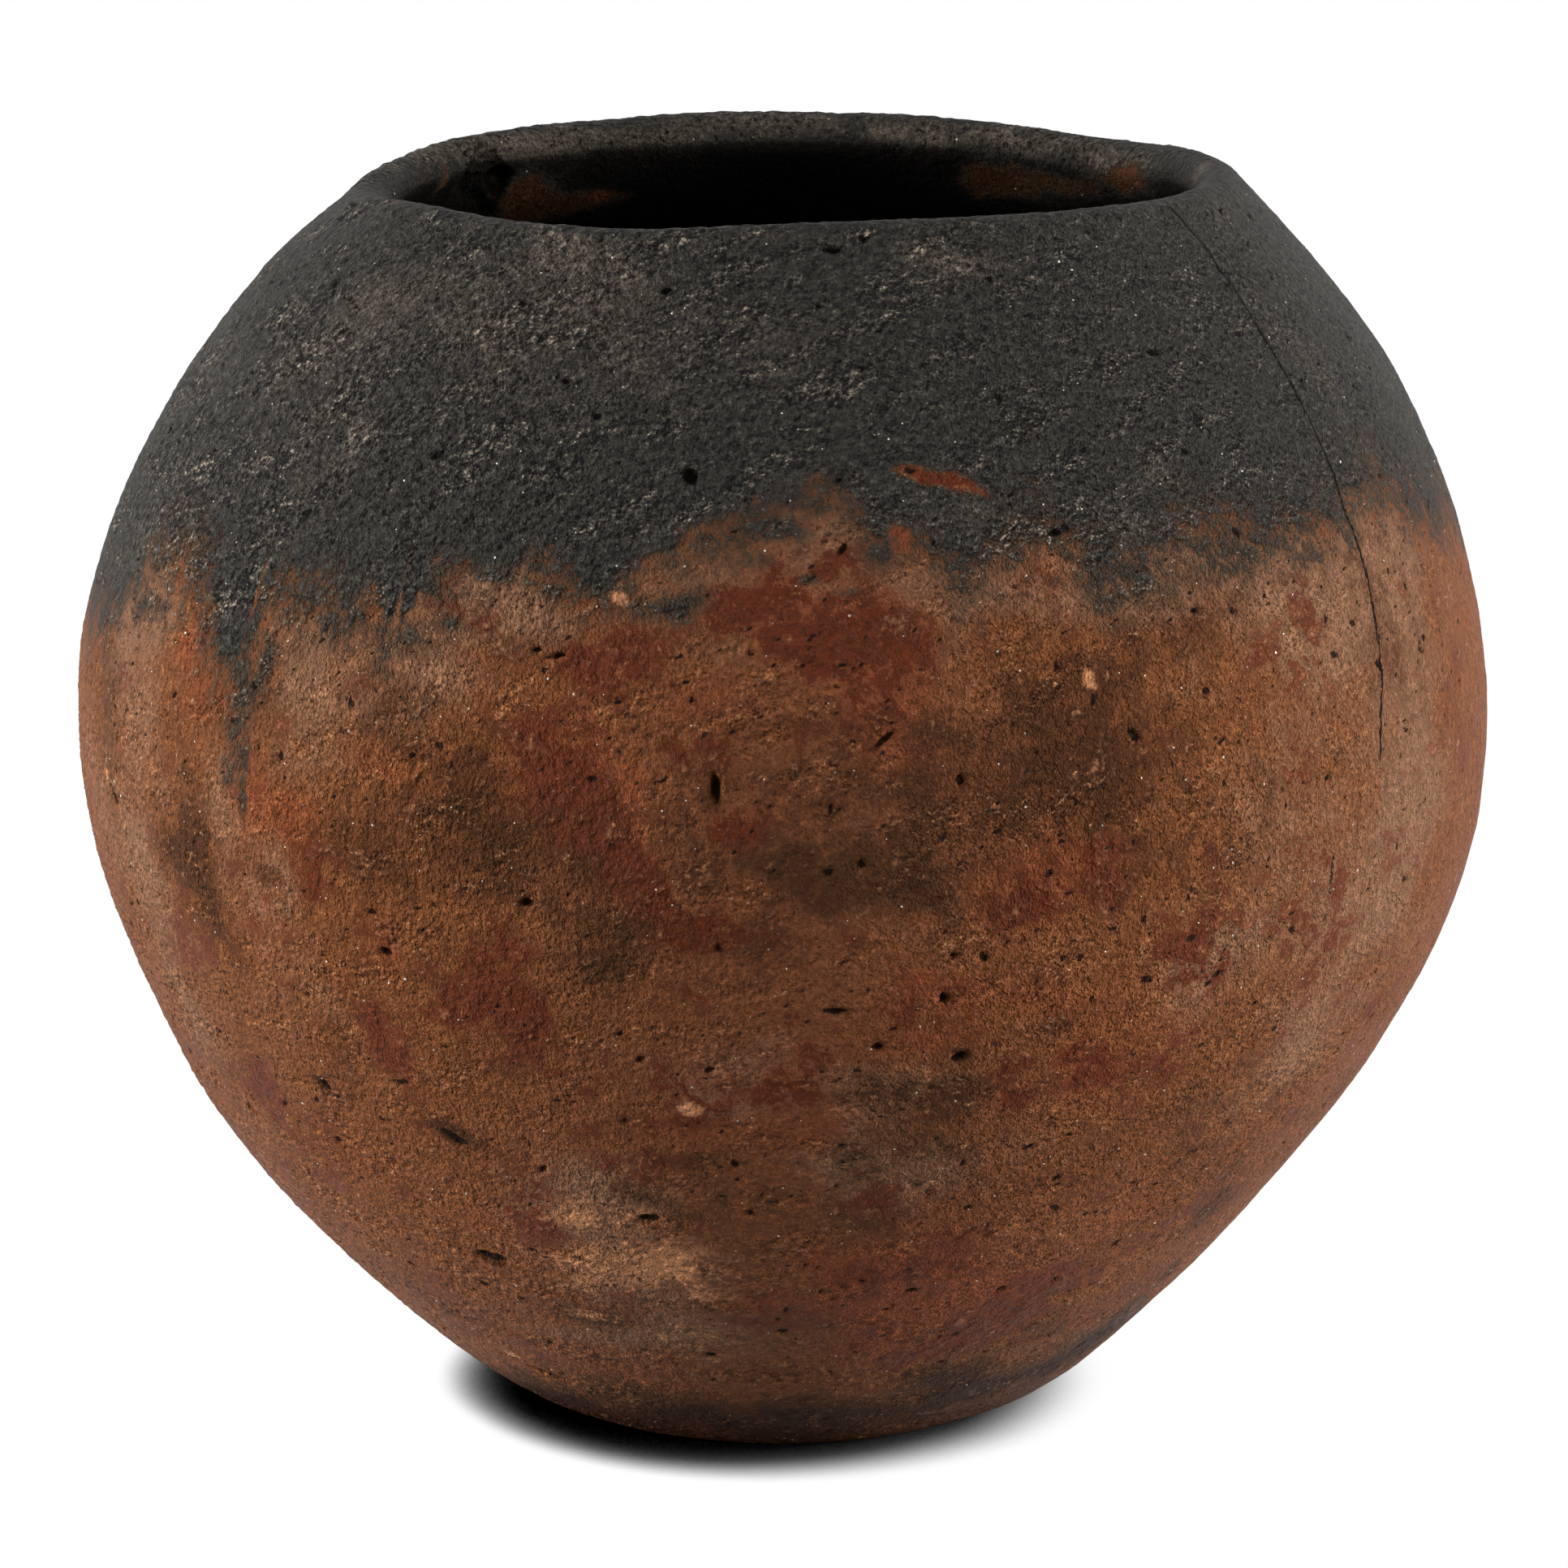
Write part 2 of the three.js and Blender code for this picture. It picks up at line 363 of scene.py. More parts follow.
def seen_from_camera(points):
    """Projects points to pixels of the photograph through the camera."""
    offset = points - CAMERA_TARGET
    across, away, up = offset[..., 0], offset[..., 1], offset[..., 2]
    depth = CAMERA_DISTANCE + away * math.cos(CAMERA_TILT) - up * math.sin(CAMERA_TILT)
    rise = up * math.cos(CAMERA_TILT) + away * math.sin(CAMERA_TILT)
    scale = PIXELS_PER_MM * CAMERA_DISTANCE / depth
    return PHOTO_SIZE / 2 + scale * across, PHOTO_SIZE / 2 - scale * rise


PIXEL_X, PIXEL_Y = seen_from_camera(ROUND_WALL)
TOWARDS_EYE = np.array([0.0, -math.cos(CAMERA_TILT), math.sin(CAMERA_TILT)])
EYE = CAMERA_TARGET + CAMERA_DISTANCE * TOWARDS_EYE
WALL_NORMALS = np.stack([
    SURFACE_NORMALS[:, :1] * np.cos(TURN),
    SURFACE_NORMALS[:, :1] * np.sin(TURN),
    np.repeat(SURFACE_NORMALS[:, 1:], COLUMNS, axis=1),
], axis=-1)
FACING = np.einsum("...k,...k->...", WALL_NORMALS, EYE - ROUND_WALL) > 0


def in_view(rows):
    """Row, column and pixel of each point of these rows that faces the camera."""
    row, column = np.nonzero(FACING & rows[:, None])
    return row, column, PIXEL_X[row, column], PIXEL_Y[row, column]


WALL_IN_VIEW = in_view(OUTSIDE)
MOUTH_IN_VIEW = in_view(~OUTSIDE)


def under_pixel(x, y, points):
    """Azimuth and row of the point that shows at a pixel, among these points in view."""
    row, column, across, down = points
    nearest = np.argmin((across - x) ** 2 + (down - y) ** 2)
    return AZIMUTH[column[nearest]], row[nearest]


def placed(marks, points):
    """Marks that begin with a pixel, as marks that begin with an azimuth and a row."""
    return [(*under_pixel(x, y, points), *rest) for x, y, *rest in marks]


# How far round its centre a mark is worked out: in half sizes, with this many millimetres more where
# its outline wanders. Near the axis a mark reaches no further round than on the smallest radius.
PATCH_HALF_SIZES = 2.2
PATCH_MARGIN = 5.0
SMALLEST_RADIUS = 5.0


def columns_round(azimuth, half):
    """The column nearest to an azimuth, with this many on either side of it."""
    centre = int(round(azimuth * COLUMNS / 360))
    return np.arange(centre - half, centre + half + 1) % COLUMNS


def patch(azimuth, row, length, width, tilt, warp):
    """The part of the grid round a mark, and each point's distance from its centre there, as a
    share of an ellipse with these half sizes. The distance is measured in the surface, and the
    ellipse leans anticlockwise by the tilt. Wandering noise makes its outline irregular."""
    reach = PATCH_HALF_SIZES * max(length, width) + PATCH_MARGIN * warp
    rows = np.flatnonzero(np.abs(ALONG - ALONG[row]) < reach)
    half_turn = math.degrees(reach / max(RADIUS[row], SMALLEST_RADIUS))
    columns = columns_round(azimuth, int(min(COLUMNS / 2 - 1, half_turn * COLUMNS / 360 + 1)))
    window = np.ix_(rows, columns)
    off = np.radians(short_turn(AZIMUTH[columns] - azimuth))
    across = off[None, :] * RADIUS[rows][:, None] + warp * WARP_ROUND[window]
    along = (ALONG[rows] - ALONG[row])[:, None] + warp * WARP_ALONG[window]
    lean = math.radians(tilt)
    first = across * math.cos(lean) + along * math.sin(lean)
    second = along * math.cos(lean) - across * math.sin(lean)
    return window, np.hypot(first / length, second / width)


# Where the black ends: pixels along its lower edge with the softness of that edge in millimetres,
# then azimuth, height and softness behind, and how far the edge wanders from both
BORDER = [
    (108, 735, 9), (122, 760, 9), (140, 775, 8), (152, 760, 9), (165, 730, 10), (190, 706, 10),
    (220, 696, 10), (246, 702, 7), (262, 770, 4), (270, 830, 4), (285, 850, 4), (300, 840, 4),
    (312, 780, 4), (320, 720, 6), (340, 722, 4), (375, 748, 5), (400, 760, 5), (438, 754, 4),
    (450, 745, 3), (458, 775, 3), (475, 792, 3), (490, 785, 3), (496, 745, 2.5), (503, 700, 2.5),
    (530, 698, 3), (600, 702, 3), (640, 702, 3), (700, 708, 3), (716, 728, 3), (745, 732, 3),
    (770, 705, 3), (800, 676, 3), (840, 674, 3), (862, 666, 3), (890, 654, 3), (925, 647, 3),
    (955, 625, 3), (1000, 600, 3), (1030, 596, 3), (1062, 622, 3), (1085, 640, 3), (1120, 662, 3),
    (1160, 690, 4), (1200, 716, 4), (1238, 690, 6), (1290, 645, 7), (1325, 668, 5), (1345, 705, 5),
    (1375, 718, 5), (1400, 708, 5), (1422, 690, 5), (1470, 683, 6), (1510, 664, 6), (1540, 656, 6),
    (1573, 662, 6), (1618, 656, 5), (1649, 628, 6), (1679, 615, 6), (1709, 606, 6), (1747, 618, 6),
    (1775, 626, 7), (1793, 632, 8),
]
BORDER_BEHIND = [
    (6, 106, 6), (30, 112, 4), (44, 104, 4), (55, 101, 3), (60, 88, 3), (64, 99, 3), (80, 94, 4),
    (100, 99, 4), (112, 103, 3), (125, 88, 4), (131, 84, 3), (137, 95, 4), (150, 97, 5), (172, 90, 6),
]
BORDER_RAGGEDNESS = 3.6


def border_line():
    """Height where the black ends, and how soft that edge is, for every column."""
    stations = list(BORDER_BEHIND)
    for azimuth, row, softness in placed(BORDER, WALL_IN_VIEW):
        stations.append((azimuth, HEIGHT[row], softness))
    stations = np.array(sorted(stations))
    return (
        np.interp(AZIMUTH, stations[:, 0], stations[:, 1], period=360),
        np.interp(AZIMUTH, stations[:, 0], stations[:, 2], period=360),
    )


BORDER_HEIGHT, BORDER_SOFTNESS = border_line()

# Marks by finish: pixel x and y of the centre, half length and half width in millimetres, tilt,
# strength. "soot" is black below the border, "bare" is clay that shows within the black, and
# "sooty" is black without dust. The smoke marks along the bottom and the lower right are partly
# painted shade, where little light reaches near the ground.
MARKS = {
    "soot": [
        (288, 860, 2.4, 9, 0, 0.85), (300, 960, 0.8, 5, 0, 0.55), (326, 832, 1.8, 4.2, 0, 0.72),
        (475, 812, 1.3, 2.2, 0, 0.7), (500, 790, 2.2, 2.4, 0, 0.55), (602, 708, 2.4, 1.3, 0, 0.62),
        (560, 768, 2.6, 1.5, 0, 0.45), (520, 882, 3, 1.8, 0, 0.4), (800, 750, 4.5, 2, -10, 0.55),
        (850, 738, 2.8, 1.8, 0, 0.5), (963, 648, 2.2, 1.5, 0, 0.62), (1082, 684, 1.8, 1.1, 0, 0.68),
        (996, 713, 1.1, 0.9, 0, 0.7), (1040, 728, 1.6, 0.7, 0, 0.6), (1366, 735, 4, 2.6, 0, 0.5),
        (1180, 712, 5, 1.8, 0, 0.6), (135, 770, 2, 5, 0, 0.6), (930, 690, 2.2, 1.2, 0, 0.5),
        (875, 662, 3.4, 1.6, 0, 0.7), (935, 652, 3.4, 1.6, 0, 0.7), (1005, 618, 3, 1.2, 0, 0.6),
        (390, 750, 5, 1.6, 0, 0.7), (650, 715, 6, 1.2, 0, 0.65), (1440, 685, 5, 1.6, 0, 0.6),
        (1590, 665, 6, 1.4, 0, 0.7), (700, 730, 3, 1.2, 0, 0.6), (440, 765, 3, 2, 0, 0.6),
        (190, 740, 5, 2, 0, 0.6),
    ],
    "bare": [
        (1126, 583, 5, 1.5, -18, 0.7), (1205, 605, 4.4, 1.3, -32, 0.68), (1036, 625, 3, 2.2, 0, 0.6),
        (979, 600, 3, 1.6, 0, 0.5), (1103, 664, 3.2, 1.5, -20, 0.8), (1400, 655, 2, 1.5, 0, 0.4),
    ],
    "slip": [
        (896, 646, 3.6, 3.4, 0, 0.5), (1126, 583, 5, 2.2, -18, 0.9), (1205, 605, 4.4, 1.8, -32, 0.9),
        (979, 604, 3.6, 2, 0, 0.5), (1036, 625, 3.4, 2.4, 0, 0.4), (971, 722, 4.4, 4, 0, 0.7),
        (918, 748, 3.2, 3.4, 0, 0.6), (1036, 695, 3, 1.8, 0, 0.4), (1080, 820, 7, 6, 0, 0.65),
        (994, 800, 5, 3, 0, 0.6), (745, 816, 4, 4.8, 0, 0.75), (665, 918, 3.8, 2.8, 0, 0.35),
        (841, 932, 4.6, 2.6, 0, 0.55), (965, 920, 2.8, 2.8, 0, 0.5), (700, 968, 4.2, 3.4, 0, 0.9),
        (730, 1022, 5.6, 3.8, -50, 1.3), (802, 1108, 4.2, 2.4, -40, 1.1), (862, 1146, 4, 2.8, -10, 0.9),
        (615, 1225, 7.4, 8.4, 0, 0.55), (472, 1268, 3, 4.2, 0, 0.65), (325, 1345, 4, 4, 0, 0.5),
        (390, 1085, 1.4, 3.4, 0, 0.7), (864, 1378, 3.8, 2.4, 0, 0.6), (934, 1025, 5, 3.4, 0, 1.1),
        (1240, 1620, 8, 5, 0, 1), (1320, 1570, 5, 4, 0, 0.5), (946, 1159, 4.6, 1.6, 0, 0.6),
        (1250, 1122, 3.4, 3.6, 0, 0.95), (1342, 1052, 3.8, 2.3, 0, 0.8), (1365, 1105, 1.5, 1.9, 0, 0.7),
        (1456, 1160, 4.6, 3.4, 0, 0.6), (1340, 1315, 4.8, 3.5, 0, 0.75), (1237, 1314, 3, 1.8, 0, 0.6),
        (1250, 1358, 2.6, 1.8, 0, 0.6), (942, 1333, 3.2, 3, 0, 0.3), (976, 1264, 2.5, 2, 0, 0.5),
        (1180, 1222, 1.3, 0.9, 0, 0.7), (843, 1427, 3.4, 1.4, 0, 0.7), (648, 1510, 5.2, 4.6, 0, 0.65),
        (797, 1530, 3.4, 1.4, 0, 0.6), (1103, 1570, 9.6, 4.6, 0, 0.6), (1075, 1473, 3.6, 1.8, 0, 0.7),
        (1013, 1626, 4, 2, 0, 0.6), (1149, 1660, 5, 4.5, 0, 0.9), (538, 726, 4.4, 4.2, 0, 0.8),
        (597, 684, 4.2, 1.4, 10, 0.7), (582, 762, 3.2, 1.6, 0, 0.6), (650, 850, 4.5, 5, 0, 0.2),
        (1560, 1060, 8, 6, 0, 0.3), (1500, 1120, 6, 5, 0, 0.6), (1420, 1520, 8, 5, 40, 0.5),
        (1620, 1200, 6, 7, 0, 0.4), (420, 1180, 5, 5, 0, 0.4),
    ],
    "ember": [
        (240, 810, 3.2, 3.2, 0, 0.9), (250, 885, 4, 3.2, 0, 0.7), (740, 815, 4.6, 3.8, 0, 0.75),
        (640, 900, 7, 4.6, 0, 0.25), (700, 945, 5, 4, 0, 0.45), (722, 985, 4.6, 3.6, 0, 0.7),
        (762, 1040, 3.4, 4, 0, 1), (960, 745, 5.6, 5.6, 0, 0.75), (1060, 780, 7, 5, 0, 0.6),
        (1070, 850, 6.4, 4.6, 0, 0.8), (860, 880, 8, 5, 0, 0.4), (1120, 915, 5.6, 4.6, 0, 0.5),
        (930, 1020, 4, 3, 0, 1), (1250, 1600, 8, 5, 0, 0.9), (1130, 1600, 12, 6, 0, 1),
        (730, 1010, 8, 5, -50, 0.8), (370, 1010, 5, 4, 0, 0.45), (470, 945, 5, 3.4, 0, 0.5),
        (315, 985, 6, 6, 0, 0.4), (170, 950, 4, 8, 0, 0.2), (330, 1150, 6, 9, 0, 0.35),
        (1290, 1060, 8, 4.6, 0, 0.5), (1245, 1130, 5, 5.6, 0, 0.5), (1340, 1320, 4, 4.6, 0, 0.65),
        (1290, 1240, 7, 3, 0, 0.5), (1160, 1222, 6, 2.8, 0, 0.65), (1150, 1290, 6, 2.6, 0, 0.55),
        (860, 1405, 6, 3.6, 0, 0.5), (970, 1330, 9, 5, 0, 0.5), (1020, 1400, 5.6, 3.4, 0, 0.5),
        (1120, 1550, 9, 4, 0, 0.8), (1190, 1612, 6, 3.6, 0, 0.8), (1085, 1660, 6, 2.8, 0, 0.55),
        (935, 1612, 4, 2.6, 0, 0.5), (1012, 1562, 4, 2.6, 0, 0.4), (1440, 1250, 10, 6, 0, 0.35),
        (440, 1430, 7, 7, -30, 0.35), (600, 1500, 5.6, 3.6, 0, 0.4), (690, 1540, 5, 3.6, 0, 0.5),
        (850, 1140, 4, 4, 0, 0.45), (1400, 1500, 8, 5, 30, 0.35), (480, 1180, 3, 7, 0, 0.4),
        (1103, 665, 3.4, 1.8, -20, 0.7), (1285, 705, 5, 2.6, 0, 0.45), (1620, 1210, 8, 6, 0, 0.3),
    ],
    "smoke": [
        (560, 1010, 15, 6.4, 0, 0.75), (625, 1042, 4.6, 1.8, 0, 0.55), (455, 1065, 5, 6.4, 0, 0.55),
        (240, 1050, 7.6, 6.4, 0, 0.6), (265, 1150, 4.4, 7, 0, 0.5), (722, 1112, 7, 4.4, -10, 0.8),
        (725, 1185, 4.6, 3.6, 0, 0.5), (880, 965, 3.6, 3, 0, 0.5), (1040, 985, 8.6, 4, 0, 0.55),
        (1085, 1078, 11, 5, -8, 1), (1150, 1100, 7, 3.6, 0, 0.4), (1250, 985, 12, 5.4, 0, 0.7),
        (1340, 930, 9, 5.6, 0, 0.75), (1350, 850, 6, 3.6, 0, 0.5), (1455, 1010, 9, 5, 0, 0.45),
        (1250, 860, 7, 4.6, 0, 0.4), (900, 1170, 11, 5, 0, 0.3), (600, 1230, 10, 7, 0, 0.25),
        (1100, 1352, 6.6, 3, 0, 0.5), (1180, 1352, 5, 3, 0, 0.5), (1140, 1430, 9, 3.6, 0, 0.5),
        (570, 1400, 4.4, 1.8, -25, 0.7), (790, 1472, 4.6, 2, -25, 0.8), (895, 1480, 5.6, 3.2, 0, 0.65),
        (1050, 1500, 5, 2.8, 0, 0.5), (870, 1432, 9, 1.6, 0, 0.35), (1495, 1352, 5, 5, 0, 0.6),
        (1315, 1260, 2.8, 2.8, 45, 0.5), (1180, 1303, 1.8, 1.3, 0, 0.7), (1208, 1688, 8, 3.6, 10, 1.1),
        (607, 1553, 2.6, 1.2, -20, 0.9), (510, 1590, 8, 3, -40, 0.5), (425, 1290, 2.6, 8, 0, 0.4),
        (730, 1612, 6, 2.6, 0, 0.6), (850, 1612, 4.6, 3, 0, 0.45), (715, 1690, 9, 2.2, -15, 0.45),
        # The marks along the bottom, near the ground, are partly painted shade
        (1380, 1400, 9, 4.4, 30, 0.4), (1350, 1560, 6, 5, 40, 0.45), (925, 1742, 28, 5, 0, 1.2),
        (700, 1728, 10, 4, -10, 0.9), (1150, 1722, 10, 4, 10, 1), (925, 1758, 36, 5, 0, 1.4),
        (1400, 1600, 6, 5, 40, 0.6), (1300, 1680, 7, 4, 20, 0.9), (1200, 890, 8, 4, 0, 0.7),
        (490, 860, 4, 6, 0, 0.6), (960, 1078, 7, 3.4, 0, 0.7), (1560, 1000, 3, 7, 0, 0.5),
        (1710, 780, 3, 12, 8, 0.3), (130, 900, 4, 12, 0, 0.4), (1360, 1640, 7, 7, 40, 1),
        (1250, 1700, 10, 4, 15, 1), (1130, 1385, 7.6, 4, -10, 0.4), (1480, 1500, 6, 7, 40, 0.6),
        (1420, 800, 11, 9, 0, 0.5), (1500, 1400, 9, 8, 0, 0.4), (1745, 800, 2.5, 12, 8, 0.3),
        (840, 1040, 3, 6, 0, 0.5), (990, 900, 6, 6, 0, 0.35), (242, 1040, 4, 8, 0, 0.6),
        (625, 1085, 8, 3, 0, 0.4), (1400, 975, 6, 4, 0, 0.35), (1250, 1690, 10, 5, 15, 0.6),
        (1260, 1650, 8, 5, 20, 0.6), (330, 870, 2.5, 6, 0, 0.5), (230, 900, 7, 6, 0, 0.3),
        (1700, 890, 3, 12, 0, 0.3), (398, 1337, 1.5, 1.3, 0, 0.8), (549, 1386, 2.2, 1.3, 0, 0.6),
        (767, 1377, 2.4, 1.2, 0, 0.5), (325, 1078, 2.8, 1.5, 0, 0.5), (640, 1330, 8, 5, 0, 0.25),
        (1630, 1360, 6, 8, 30, 0.3), (1430, 1080, 8, 4, 0, 0.25), (330, 1470, 8, 3, -50, 0.35),
    ],
    "tan": [
        (195, 745, 6, 4.4, 0, 0.85), (390, 830, 9, 9, 0, 0.8), (560, 860, 6, 5, 0, 0.4),
        (600, 742, 8, 4, 0, 0.5), (1000, 640, 6.4, 4, 0, 0.5), (1200, 740, 12, 3.6, 0, 0.55),
        (1290, 690, 8, 3, 0, 0.4), (1550, 735, 12, 5.6, 0, 0.6), (1720, 700, 9, 8, 0, 0.7),
        (1745, 900, 8, 14, 0, 0.6), (1600, 960, 10, 12, 0, 0.45), (790, 1560, 9.6, 6.4, 0, 0.8),
        (700, 1495, 6, 4, 0, 0.5), (335, 1180, 4.6, 9, 0, 0.3), (835, 1640, 9, 3.6, 0, 0.9),
        (1150, 1440, 9, 3.6, 0, 0.5), (1110, 1350, 7, 3, 0, 0.5), (130, 1000, 8, 10, 0, 0.4),
        (820, 705, 7, 3, 0, 0.4), (900, 800, 5, 4, 0, 0.35), (500, 820, 5, 5, 0, 0.4),
        (1640, 1150, 9, 9, 0, 0.5), (1650, 740, 10, 8, 0, 0.7), (1720, 1060, 8, 14, 0, 0.8),
        (1500, 1190, 9, 7, 0, 0.6), (1600, 1280, 9, 9, 0, 0.5), (180, 1060, 7, 12, 0, 0.6),
        (240, 1250, 5, 12, 0, 0.5), (280, 1000, 3, 8, 0, 0.5), (330, 1100, 4, 8, 0, 0.7),
        (150, 780, 6, 8, 0, 0.8), (170, 870, 5, 6, 0, 0.5), (1400, 720, 10, 4, 0, 0.7),
        (1500, 700, 12, 4, 0, 0.6), (950, 1335, 8, 4, 0, 1.1), (1060, 1410, 5, 4, 0, 0.4),
        (700, 1520, 8, 4, 0, 0.5), (740, 1465, 8, 5, 0, 0.7), (1045, 1430, 4, 4, 0, 0.6),
        (620, 745, 12, 4, 0, 0.6), (560, 700, 8, 3, 0, 0.5), (1040, 720, 12, 5, 0, 0.4),
        (700, 1640, 6, 2.6, 0, 0.4), (1080, 1480, 6, 3, 0, 0.3),
    ],
    "pale": [
        (755, 1492, 5.6, 2.2, 0, 0.55), (810, 1550, 6, 4, -10, 0.8), (720, 1560, 5, 4, 0, 0.6),
        (722, 1614, 3, 0.9, -5, 0.6), (880, 1600, 3.6, 2, 0, 0.4), (634, 1671, 1.1, 0.6, 0, 1.3),
        (818, 1646, 0.45, 0.9, 10, 1.2), (845, 1673, 5.2, 0.5, -6, 0.6), (852, 1367, 1.1, 0.8, -20, 1.5),
        (1340, 835, 0.6, 1.1, 20, 1.2), (765, 733, 1.2, 0.5, -35, 1.1), (1140, 1322, 1.6, 0.35, -8, 1),
        (130, 950, 0.7, 1.6, 0, 0.8), (1175, 1090, 1.6, 0.3, -62, 0.8), (1040, 1372, 3, 1, 0, 0.4),
        (700, 1500, 3, 1.5, 0, 0.4), (852, 1648, 4, 2.4, 0, 0.5),
    ],
    "dust": [
        (440, 545, 2.2, 6, 0, 0.8), (350, 540, 9, 8, 0, 0.3), (400, 420, 14, 11, 0, 0.4),
        (190, 660, 5, 6, 0, 0.7), (207, 682, 0.9, 1.7, 0, 1), (725, 322, 7, 3.4, -15, 1.8),
        (1430, 582, 3, 2.2, 0, 0.8), (1390, 640, 3, 4, 0, 0.6), (1330, 620, 4, 3.4, 0, 0.6),
        (1500, 262, 5, 1.6, 30, 0.7), (720, 440, 12, 10, 0, 0.6), (560, 380, 14, 9, 0, 0.7),
        (1580, 600, 2, 2, 0, 0.4), (380, 612, 3, 3, 0, 0.4), (1150, 620, 8, 3, 0, 0.4),
        (1240, 650, 5, 4, 0, 0.4), (1180, 330, 9, 3, 0, 0.5), (970, 440, 12, 8, 0, 0.55),
        (1600, 430, 3, 14, 14, 0.5), (1730, 500, 5, 10, 0, 0.3), (900, 290, 20, 1.6, 0, 0.4),
        (240, 480, 8, 8, 0, 0.4), (1130, 310, 2.4, 0.9, -10, 0.9), (1170, 325, 1.6, 0.9, 0, 0.9),
    ],
    "sooty": [
        (270, 670, 5.6, 5, 0, 0.9), (455, 680, 8, 4, 0, 0.8), (770, 690, 8, 3.6, 0, 0.7),
        (1530, 560, 7, 10, 0, 1.4), (1580, 655, 6, 2.6, 0, 0.8), (1260, 560, 10, 4, 0, 0.4),
        (640, 600, 10, 5, 0, 0.3), (1435, 700, 6, 2.6, 0, 0.5), (130, 640, 4, 8, 0, 0.4),
        (1330, 655, 1.6, 2, 0, 0.6), (1740, 570, 5, 8, 0, 0.9), (1010, 560, 8, 2.6, 0, 0.3),
    ],
}
# Marks on the lip and the wall inside it, in the same form. The long dust bands on the lip are partly
# a painted highlight, the bare marks on the inner wall are partly a painted pool of light where light
# reaches in, and the smoke marks on that wall are partly painted shade
MOUTH_MARKS = {
    "dust": [
        (488, 205, 1.6, 1, 0, 2.8), (530, 190, 5, 3, 0, 1.6), (640, 172, 5, 1.6, 0, 1.6),
        (1225, 167, 2, 0.8, 0, 3), (1245, 175, 1.2, 0.8, 0, 2.6), (1085, 163, 1.6, 0.6, 0, 2.6),
        (1110, 165, 1, 0.6, 0, 2.8), (1150, 168, 1.6, 0.8, 0, 2.2), (1300, 178, 1.6, 0.8, 0, 2.2),
        (1400, 205, 8, 2, 0, 1.6), (1475, 212, 2.4, 1.4, 0, 2.4), (900, 165, 40, 3, 0, 1.2),
        (720, 172, 10, 2, 0, 1.2), (1200, 165, 12, 2, 0, 1.2), (1345, 185, 8, 2, 0, 1.2),
        (600, 215, 5, 6, 0, 0.9),
    ],
    "bare": [
        (545, 225, 1.6, 3.4, 0, 0.7), (650, 232, 5, 4.5, 0, 1), (720, 246, 7, 3, 0, 0.8),
        (1225, 232, 5, 3, 0, 0.8), (1300, 228, 10, 3.2, 0, 0.7), (1390, 224, 6, 2.6, 0, 0.8),
    ],
    "ember": [(545, 228, 1.4, 2.6, 0, 0.9)],
    "tan": [(1290, 228, 22.0, 9.0, 0, 0.8)],
    "smoke": [(680, 240, 10.0, 6.0, 0, 0.9), (1290, 228, 22.0, 9.0, 0, 1.1)],
}

# Marks scattered over the side that the photograph doesn't show: how many, their half lengths, and
# the heights between which they lie. All share the azimuths between which they lie, how wide they
# are beside their length, the spread of their tilt, and their strengths.
SCATTERED = {
    "soot": (7, 1.5, 4.5, 66, 94),
    "bare": (5, 1.5, 3.5, 96, 106),
    "slip": (34, 2.5, 7.5, 8, 100),
    "ember": (34, 3, 9, 10, 98),
    "smoke": (38, 3, 13, 5, 88),
    "tan": (20, 4, 12, 8, 96),
    "pale": (10, 1.5, 6, 8, 90),
    "dust": (18, 3, 12, 98, 146),
    "sooty": (10, 4, 10, 96, 120),
}
SCATTERED_AZIMUTHS = (8, 172)
SCATTERED_WIDTHS = (0.4, 0.9)
SCATTERED_TILT = 30
SCATTERED_STRENGTHS = (0.5, 1)
FIRST_MARK_SEED = 900
# Marks at least this wide, in half size, wander by the full warp of the noise
FULLY_WARPED = 5.0


def scattered_marks(kind):
    """Marks at chance places behind, each wider than it is tall before it is tilted."""
    count, smallest, largest, low, high = SCATTERED[kind]
    chance = np.random.default_rng(FIRST_MARK_SEED + list(SCATTERED).index(kind))
    outer_heights = HEIGHT[:LIP_START]
    for _ in range(count):
        azimuth = chance.uniform(*SCATTERED_AZIMUTHS)
        row = int(np.argmin(np.abs(outer_heights - chance.uniform(low, high))))
        length = chance.uniform(smallest, largest)
        width = length * chance.uniform(*SCATTERED_WIDTHS)
        tilt = chance.normal(0, SCATTERED_TILT)
        yield azimuth, row, length, width, tilt, chance.uniform(*SCATTERED_STRENGTHS)


def painted_marks(kind):
    """Leaning of the clay towards one finish: a smooth bell for each of its marks, all added up."""
    field = np.zeros(GRID, np.float32)
    faces = [
        (OUTSIDE, placed(MARKS[kind], WALL_IN_VIEW)),
        (OUTSIDE, scattered_marks(kind)),
        (~OUTSIDE, placed(MOUTH_MARKS.get(kind, []), MOUTH_IN_VIEW)),
    ]
    for side, marks in faces:
        layer = np.zeros(GRID, np.float32)
        for azimuth, row, length, width, tilt, strength in marks:
            warp = min(1.0, min(length, width) / FULLY_WARPED)
            window, distance = patch(azimuth, row, length, width, tilt, warp)
            layer[window] += strength * bell(distance)
        field += layer * side[:, None]
    return field


